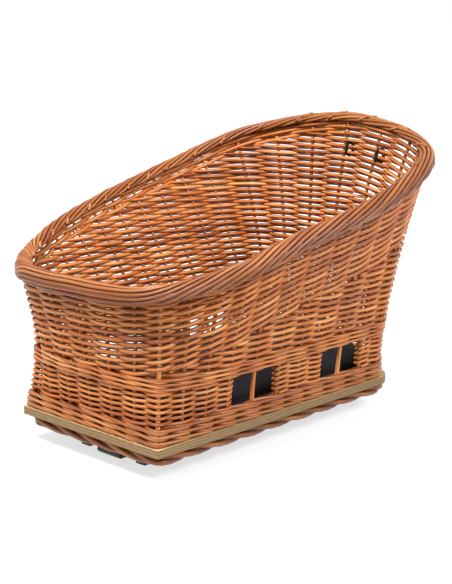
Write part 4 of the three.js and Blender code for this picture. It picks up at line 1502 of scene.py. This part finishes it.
@dataclass
class Borders:
    """The plaited rim border and the roped border under the board."""

    form: WallForm
    finishes: Finishes
    rim_tracks: int = 12
    rim_turns: int = 5
    rim_strand: float = 0.0026
    rim_lap: tuple[float, float] = (-0.06, 1.04)
    rim_bay_points: int = 9
    rim_least_points: int = 12
    rim_lift_gaps: int = 3
    # The line that the strands' middles follow round the rim's section: shares of its half
    # width outwards, and of its roll upwards or its skirt downwards
    rim_section: tuple[tuple[float, float], ...] = (
        (0.97, -0.92), (0.99, 0.1), (0.84, 0.58), (0.46, 0.93), (-0.14, 1.0), (-0.62, 0.78), (-0.86, 0.42),
        (-0.62, 0.22), (0.0, 0.42), (0.52, 0.0))
    rim_section_steps: int = 240
    # How fast the strands wind: hardly round the front, fast at the far corner. The marks are
    # stakes from the front centre and from the far corner, between which the speed changes
    rim_slow: float = 0.015
    rim_even: float = 0.145
    rim_fast: float = 0.42
    rim_front_marks: tuple[float, ...] = (0, 2.2, 3.4)
    rim_corner_marks: tuple[float, ...] = (-1.8, -0.8, 0.5, 1.4)
    rim_progress_steps: int = 20
    rim_middle: tuple[float, float] = (0.1, 0.35)
    rim_loose: tuple[float, float] = (-0.0006, 0.0003)
    rim_wave: float = 0.0003
    rim_wave_rate: float = 2.6
    rim_taper: tuple[float, float, float] = (1.06, 1.02, 0.9)
    rim_spread: tuple[float, float] = (0.95, 1.07)
    rim_tone: tuple[float, float] = (0.55, 0.20)
    rim_tone_range: tuple[float, float] = (0.05, 1.0)
    # Middle of each hidden rod in half widths of the rim, and its radius
    core_rods: tuple[tuple[float, float, float], ...] = ((0.15, 0.40, 0.0068), (0.62, 0.05, 0.0042))
    core_bay_points: int = 6
    core_tone: float = 0.05
    cut_points: int = 7
    cut_jitter: float = 0.12
    cut_taper: tuple[float, float] = (1.0, 0.9)
    cut_tone: tuple[float, float] = (0.5, 1.0)
    long_cut_reach: tuple[float, float] = (0.36, 0.46)
    long_cut: tuple[tuple[float, ...], ...] = ((-0.90, -0.44, 0.02), (0.30, 0.86, 1.0))
    short_cut_reach: float = 0.2
    short_cut: tuple[tuple[float, ...], ...] = ((-0.86, -0.74, -0.62), (0.3, 0.5, 0.72))
    foot_strands: int = 3
    foot_turns: int = 9
    foot_strand: float = 0.0042
    foot_flatness: float = 0.47
    foot_steps: int = 320
    foot_corner_steps: int = 9
    foot_lap: int = 6
    foot_swell: float = 0.05
    foot_tone: tuple[float, float] = (0.3, 0.9)
    seed: int = 5

    def build(self) -> None:
        """Twist both borders."""
        self._rim()
        self._foot()

    def _rim_path(self, place: Array, section: Array) -> tuple[Array, Array, Array]:
        """Carry places in the rim's section round the basket.

        Args:
            place: Places round the basket.
            section: How far out of and up from the top of the weave the path lies at each place.

        Returns:
            The path, and the rim's outward and upward directions.
        """
        half = self.form.HALF_STEP
        ahead = self.form.rim(place + half) - self.form.rim(place - half)
        out = level_out(ahead)
        up = np.cross(out, to_unit(ahead))
        line = self.form.rim(place) + up * (self.rim_lift_gaps * self.form.sizes.gap)
        return line + out * section[:, :1] + up * section[:, 1:], out, up

    def _rim_loop(self) -> tuple[Array, Array]:
        """Closed line that the strands' middles follow round the rim's section.

        Returns:
            Points on it, and the share of its length passed at each.
        """
        s = self.form.sizes
        r = self.rim_strand
        wide, skirt = s.border_width / 2 - r, s.border_skirt - r
        roll = s.border_height - s.border_skirt - r
        marks = np.array([(wide * a, (roll if b > 0 else skirt) * b) for a, b in self.rim_section])
        steps = self.rim_section_steps
        loop = ring_spline(marks, np.arange(steps) / steps * len(marks))
        loop = np.r_[loop, loop[:1]]
        run = lengths_along(loop)
        return loop, run / run[-1]

    def _rim_progress(self) -> tuple[Array, Array]:
        """Work out how a strand winds: hardly in front, fast at one corner, evenly elsewhere.

        Returns:
            Places from one round before to one round after, and the turns made at each.
        """
        s = self.form.sizes
        far_corner = s.count - s.corner
        place = np.linspace(0, s.count, self.rim_progress_steps * s.count + 1)
        marks = (*self.rim_front_marks, *(far_corner + mark for mark in self.rim_corner_marks), s.count)
        rates = np.repeat((self.rim_slow, self.rim_even, self.rim_fast, self.rim_slow), 2)
        rate = np.interp(place, marks, rates)
        turns = np.r_[0, np.cumsum((rate[1:] + rate[:-1]) / 2)]
        turns = turns / turns[-1] * self.rim_turns
        return (np.r_[place[:-1] - s.count, place[:-1], place + s.count],
                np.r_[turns[:-1] - self.rim_turns, turns[:-1], turns + self.rim_turns])

    def _rim(self) -> None:
        """Lay the rim's rods side by side round its section, each for one turn, with cut ends inside."""
        s = self.form.sizes
        random = np.random.default_rng(self.seed)
        bundle = RodBundle(self.form)
        loop, part = self._rim_loop()
        around, turns = self._rim_progress()
        middle = np.array(self.rim_middle) * s.border_width / 2
        for rod in range(self.rim_tracks * self.rim_turns):
            first = rod / self.rim_tracks
            start, end = np.interp([first + lap for lap in self.rim_lap], turns, around)
            count = max(self.rim_least_points, int((end - start) * self.rim_bay_points))
            place = np.linspace(start, end, count)
            along = (np.interp(place, around, turns) - first) % 1
            section = np.c_[np.interp(along, part, loop[:, 0]), np.interp(along, part, loop[:, 1])]
            loose = random.uniform(*self.rim_loose)
            loose = loose + self.rim_wave * np.sin(place * self.rim_wave_rate + rod)
            away = to_unit(section - middle)
            path, out, up = self._rim_path(place, section + away * loose[:, None])
            taper = np.interp(np.linspace(0, 1, len(place)), (0, 0.5, 1), self.rim_taper)
            tone = float(np.clip(random.normal(*self.rim_tone), *self.rim_tone_range))
            radius = self.rim_strand * taper * random.uniform(*self.rim_spread)
            bundle.add(path, out * away[:, :1] + up * away[:, 1:], radius, tone)
        self._core(bundle)
        self._cut_ends(bundle, random)
        bundle.build("rim_plait", self.finishes.border, Body.BASKET, Slot.ROD, "rim_border")

    def _core(self, bundle: RodBundle) -> None:
        """Lay plain hidden rods in the middle of the rim.

        Args:
            bundle: Mesh that takes the rods.
        """
        s = self.form.sizes
        place = np.arange(s.count * self.core_bay_points) / self.core_bay_points
        for across, rise, radius in self.core_rods:
            section = np.tile([across, rise], (len(place), 1)) * s.border_width / 2
            path, out, _ = self._rim_path(place, section)
            bundle.add(path, out, np.full(len(place), radius), self.core_tone, closed=True)

    def _cut_ends(self, bundle: RodBundle, random: np.random.Generator) -> None:
        """Let a short cut end stand out of the rim's inner face beside each stake.

        Args:
            bundle: Mesh that takes the rods.
            random: Source of the small irregularities.
        """
        s = self.form.sizes
        size = np.array([s.border_width / 2, s.border_height - s.border_skirt])
        part = np.linspace(0, 1, self.cut_points)
        for stake in range(s.count):
            near = s.corner <= stake <= s.half_count + 1
            reach = random.uniform(*self.long_cut_reach) if near else self.short_cut_reach
            place = stake + 0.5 + random.uniform(-self.cut_jitter, self.cut_jitter) - part * reach
            marks = self.long_cut if near else self.short_cut
            section = np.c_[tuple(np.interp(part, (0, 0.5, 1), column) for column in marks)] * size
            path, out, up = self._rim_path(place, section)
            radius = self.rim_strand * np.linspace(*self.cut_taper, self.cut_points)
            bundle.add(path, up - out, radius, random.uniform(*self.cut_tone))

    def _foot_line(self) -> Array:
        """Middle line of the roped border.

        Returns:
            Evenly spaced points round it.
        """
        s = self.form.sizes
        x, y = s.board_length / 2 - s.foot_inset, s.board_width / 2 - s.foot_inset
        front, rear = s.foot_front_radius, s.board_rear_radius - s.foot_inset
        corners = ((-x + front, -y + front, front, math.pi), (x - rear, -y + rear, rear, 1.5 * math.pi),
                   (x - rear, y - rear, rear, 0.0), (-x + front, y - front, front, 0.5 * math.pi))
        outline = [(cx + r * math.cos(a), cy + r * math.sin(a)) for cx, cy, r, start in corners
                   for a in np.linspace(start, start + math.pi / 2, self.foot_corner_steps)]
        ring = np.array(outline + outline[:1])
        lengths = lengths_along(ring)
        run = np.arange(self.foot_steps) / self.foot_steps * lengths[-1]
        level = -s.board_thickness - s.gap - s.foot_size * self.foot_flatness
        return np.c_[np.interp(run, lengths, ring[:, 0]), np.interp(run, lengths, ring[:, 1]),
                     np.full(self.foot_steps, level)]

    def _foot(self) -> None:
        """Twist the roped border that runs round under the board."""
        s = self.form.sizes
        random = np.random.default_rng(self.seed + 1)
        bundle = RodBundle(self.form)
        line = self._foot_line()
        count = self.foot_steps
        part = np.arange(count) / count
        out = level_out(np.roll(line, -1, axis=0) - np.roll(line, 1, axis=0))
        up = np.tile([0.0, 0.0, 1.0], (count, 1))
        wide = s.foot_size / 2 - self.foot_strand
        high = s.foot_size * self.foot_flatness - self.foot_strand
        for k in range(self.foot_strands):
            turn = 2 * math.pi * (k / self.foot_strands - part * self.foot_turns)
            across, rise = np.cos(turn)[:, None], np.sin(turn)[:, None]
            path = line + out * (across * wide) + up * (rise * high)
            order = (np.arange(count + self.foot_lap) + random.integers(0, count)) % count
            swell = 1 + self.foot_swell * np.sin(part * 2 * math.pi * self.foot_turns + k)
            bundle.add(path[order], (out * across + up * rise)[order], (self.foot_strand * swell)[order],
                       float(random.uniform(*self.foot_tone)))
        bundle.build("foot_rope", self.finishes.border, Body.BASKET, Slot.ROD, "foot_border")


# Soft pieces and fittings


@dataclass
class FloorCushion:
    """The loose black cushion on the board."""

    form: WallForm
    finishes: Finishes
    voxel: float = 0.006
    ease_rounds: int = 6
    pressure: float = 4.0
    quality: int = 5
    puff_frames: int = 15
    largest_puff: float = 0.006
    side_puff: float = 0.002
    seam_share: float = 0.22
    belt_share: float = 0.25
    piping_radius: float = 0.0026
    piping_steps: int = 220
    piping_rays: int = 720
    # Height in metres and rate of each wave of the seam
    piping_waves: tuple[tuple[float, float], ...] = ((0.0006, 60), (0.0005, 23))

    def build(self) -> None:
        """Puff up a copy of the model's cushion and dress it."""
        obj = copy_node("floor_cushion", "cushion_pad", bpy.ops.mesh.normals_make_consistent)
        change(obj, "REMESH", mode="VOXEL", voxel_size=self.voxel)
        self._puff(obj)
        change(obj, "SMOOTH", iterations=self.ease_rounds)
        obj.data.polygons.foreach_set("use_smooth", np.ones(len(obj.data.polygons), dtype=bool))
        dress(obj, self.finishes.cloth, Body.CUSHION, Slot.CLOTH, "floor_cushion")
        self._piping(obj.data)

    def _puff(self, obj: Piece) -> None:
        """Let the cover swell a little and wrinkle, then keep the result.

        Args:
            obj: The cushion, which is selected.
        """
        before = read_points(obj.data)
        settings = obj.modifiers.new("cover", "CLOTH").settings
        settings.use_pressure = True
        settings.uniform_pressure_force = self.pressure
        settings.effector_weights.gravity = 0.0
        settings.quality = self.quality
        for step in range(1, self.puff_frames + 1):
            bpy.context.scene.frame_set(step)
        pick(obj)
        bpy.ops.object.modifier_apply(modifier="cover")
        bpy.context.scene.frame_set(1)
        move = read_points(obj.data) - before
        length = np.linalg.norm(move, axis=1)
        move *= np.minimum(1, self.largest_puff / np.maximum(length, TINY))[:, None]
        low, high = (np.array(corner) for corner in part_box("floor_cushion"))
        side = np.array([self.side_puff, self.side_puff, 0.0])
        top = np.array([0.0, 0.0, self.largest_puff])
        write_points(obj.data, np.clip(before + move, low - side, high + side + top))

    def _piping(self, pad: Mesh) -> None:
        """Run a round piping along the seam, low on the pad's side.

        Args:
            pad: Mesh of the finished pad.
        """
        points = read_points(pad) - self.form.origin
        low, high = points[:, 2].min(), points[:, 2].max()
        seam = low + (high - low) * self.seam_share
        belt = points[np.abs(points[:, 2] - seam) < (high - low) * self.belt_share][:, :2]
        turn = np.arange(self.piping_rays) / self.piping_rays * 2 * math.pi
        ring = belt[np.argmax(np.c_[np.cos(turn), np.sin(turn)] @ belt.T, axis=1)]
        ring = ring[np.r_[True, np.linalg.norm(np.diff(ring, axis=0), axis=1) > SAME_POINT]]
        ring = np.r_[ring, ring[:1]]
        run = lengths_along(ring)
        part = np.arange(self.piping_steps) / self.piping_steps * run[-1]
        line = np.c_[np.interp(part, run, ring[:, 0]), np.interp(part, run, ring[:, 1])]
        for _ in range(2):
            line = (np.roll(line, 1, axis=0) + 2 * line + np.roll(line, -1, axis=0)) / 4
        wave = sum(height * np.sin(part * rate + k) for k, (height, rate) in enumerate(self.piping_waves))
        bundle = RodBundle(self.form)
        bundle.add(np.c_[line, seam + wave], np.c_[line, np.zeros(len(line))],
                   np.full(len(line), self.piping_radius), 0.5, closed=True)
        bundle.build("cushion_piping", self.finishes.cloth, Body.CUSHION, Slot.CLOTH)


@dataclass
class TieLoops:
    """The two black cord loops on the back wall."""

    finishes: Finishes
    swelling: float = 0.0030
    levels: int = 2
    crease_degrees: float = 80

    def build(self) -> None:
        """Dress the model's loops as round cord."""
        for name in ("tie_loop_1", "tie_loop_2"):
            obj = copy_node(name, name.replace("tie", "cord"), bpy.ops.mesh.tris_convert_to_quads)
            change(obj, "SUBSURF", levels=self.levels, render_levels=self.levels)
            change(obj, "DISPLACE", strength=self.swelling, mid_level=0.0)
            self._fit(obj.data, name)
            bpy.ops.object.shade_smooth_by_angle(angle=math.radians(self.crease_degrees))
            dress(obj, self.finishes.cord, Body.BASKET, Slot.CORD, name)

    def _fit(self, mesh: Mesh, node: str) -> None:
        """Squeeze a swollen loop back into the box of the model's loop.

        Args:
            mesh: The swollen loop.
            node: Node of the model's loop.
        """
        points = read_points(mesh)
        low, high = points.min(axis=0), points.max(axis=0)
        box_low, box_high = (np.array(corner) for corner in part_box(node))
        write_points(mesh, box_low + (points - low) / (high - low) * (box_high - box_low))


@dataclass
class Fittings:
    """The board, the adapter, the lever and the fixings, which keep the model's shapes."""

    finishes: Finishes

    def build(self) -> None:
        """Give each kept node its finish."""
        fixings = ["lever_pin"]
        fixings += [f"{kind}_{k}" for kind in ("board_screw", "screw_nut") for k in range(1, 5)]
        for material, names in ((self.finishes.board, ["base_board"]),
                                (self.finishes.plastic, ["adapter_plate", "release_lever"]),
                                (self.finishes.steel, fixings)):
            for name in names:
                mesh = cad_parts[name].data
                mesh.materials.clear()
                mesh.materials.append(material)
                LOG.info("%s: %s", name, material.name)


# Studio


@dataclass(frozen=True)
class Lamp:
    """A soft square lamp, with its side in metres and its power in watts."""

    name: str
    place: tuple[float, float, float]
    side: float
    power: float

    def hang(self, aim: tuple[float, float, float]) -> None:
        """Put the lamp into the scene.

        Args:
            aim: Point that it shines at.
        """
        pick(None)
        turn = (Vector(aim) - Vector(self.place)).to_track_quat("-Z", "Y").to_euler()
        bpy.ops.object.light_add(type="AREA", location=self.place, rotation=turn)
        lamp = bpy.context.object
        lamp.name = self.name
        lamp.data.size = self.side
        lamp.data.energy = self.power


@dataclass(frozen=True)
class Studio:
    """Pale floor, soft lights and the camera."""

    middle_x: float
    target_height: float = 0.239
    azimuth: float = -45.82
    elevation: float = 11.63
    distance: float = 2.0
    focal_px: float = 1319.71
    centre_px: tuple[float, float] = (217.7, 269.54)
    frame_px: tuple[int, int] = (452, 584)
    sensor: float = 36.0
    view_end: float = 50.0
    floor_size: float = 60.0
    floor_drop: float = 0.0005
    floor_color: Color = (0.44, 0.44, 0.44)
    floor_glow: float = 0.68
    glow_range: tuple[float, float] = (0.35, 1.1)
    room_light: float = 0.44
    aim: tuple[float, float, float] = (0, 0, 0.25)
    lamps: tuple[Lamp, ...] = (Lamp("key_lamp", (0.7, -2.4, 2.1), 1.0, 70.0),
                               Lamp("front_lamp", (-1.05, -0.05, 2.15), 0.8, 84.0))

    def build(self) -> None:
        """Set up everything that is not the basket."""
        self._camera()
        self._floor()
        self._world()
        for lamp in self.lamps:
            lamp.hang(self.aim)
        bpy.context.scene.view_settings.view_transform = "Standard"

    def _camera(self) -> None:
        """Place the camera where the photograph was taken from."""
        a, e = math.radians(self.azimuth), math.radians(self.elevation)
        back = Vector((math.sin(a) * math.cos(e), -math.cos(a) * math.cos(e), math.sin(e)))
        target = Vector((self.middle_x, 0.0, self.target_height))
        pick(None)
        bpy.ops.object.camera_add(location=target + back * self.distance,
                                  rotation=(math.pi / 2 - e, 0, a))
        camera = bpy.context.object
        width, height = self.frame_px
        camera.data.sensor_width = self.sensor
        camera.data.lens = self.focal_px * self.sensor / height
        camera.data.shift_x = (width / 2 - self.centre_px[0]) / height
        camera.data.shift_y = (self.centre_px[1] - height / 2) / height
        camera.data.clip_end = self.view_end
        bpy.context.scene.camera = camera

    def _seen(self, work: NodeWork) -> Socket:
        """Mask of the rays that show the white background: camera, mirrored and passed through.

        Args:
            work: Tree that the mask is for.

        Returns:
            The mask, which is 1 for those rays.
        """
        rays = work.node("LightPath").outputs
        mirrored = work.math("MAXIMUM", rays["Is Camera Ray"], rays["Is Glossy Ray"])
        return work.math("MAXIMUM", mirrored, rays["Is Transmission Ray"])

    def _floor(self) -> None:
        """Add the pale floor, which is white further out and keeps the shadow near the basket."""
        pick(None)
        bpy.ops.mesh.primitive_plane_add(size=self.floor_size, location=(0, 0, -self.floor_drop))
        floor = bpy.context.object
        floor.name = "studio_floor"
        coat = Coat("pale_floor")
        away = coat.node("VectorMath", {0: coat.place()}, operation="LENGTH").outputs["Value"]
        strength = coat.remap(away, *self.glow_range, self.floor_glow, 1.0, "SMOOTHSTEP")
        glow = coat.math("MULTIPLY", self._seen(coat), strength)
        floor.data.materials.append(coat.finish(Base_Color=self.floor_color, Roughness=0.9,
                                                Emission_Color=WHITE, Emission_Strength=glow))

    def _world(self) -> None:
        """Fill the room with soft light and a white background."""
        world = bpy.data.worlds.new("studio_room")
        bpy.context.scene.world = world
        world.use_nodes = True
        work = NodeWork(world.node_tree)
        background = next(n for n in world.node_tree.nodes if n.type == "BACKGROUND")
        work.plug(background.inputs["Color"], WHITE)
        strength = work.remap(self._seen(work), 0.0, 1.0, self.room_light, 1.0)
        work.plug(background.inputs["Strength"], strength)


def main() -> None:
    """Build the studio, then dress the basket piece by piece."""
    board_low, board_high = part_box("base_board")
    middle = (board_low[0] + board_high[0]) / 2
    sizes = BasketSizes(middle_x=middle)
    form = WallForm(sizes)
    finishes = Finishes(SharedGroups(), sizes)
    Studio(middle).build()
    Fittings(finishes).build()
    WovenWall(form, finishes).build()
    Stakes(form, finishes).build()
    Borders(form, finishes).build()
    FloorCushion(form, finishes).build()
    TieLoops(finishes).build()


if __name__ == "__main__":
    main()
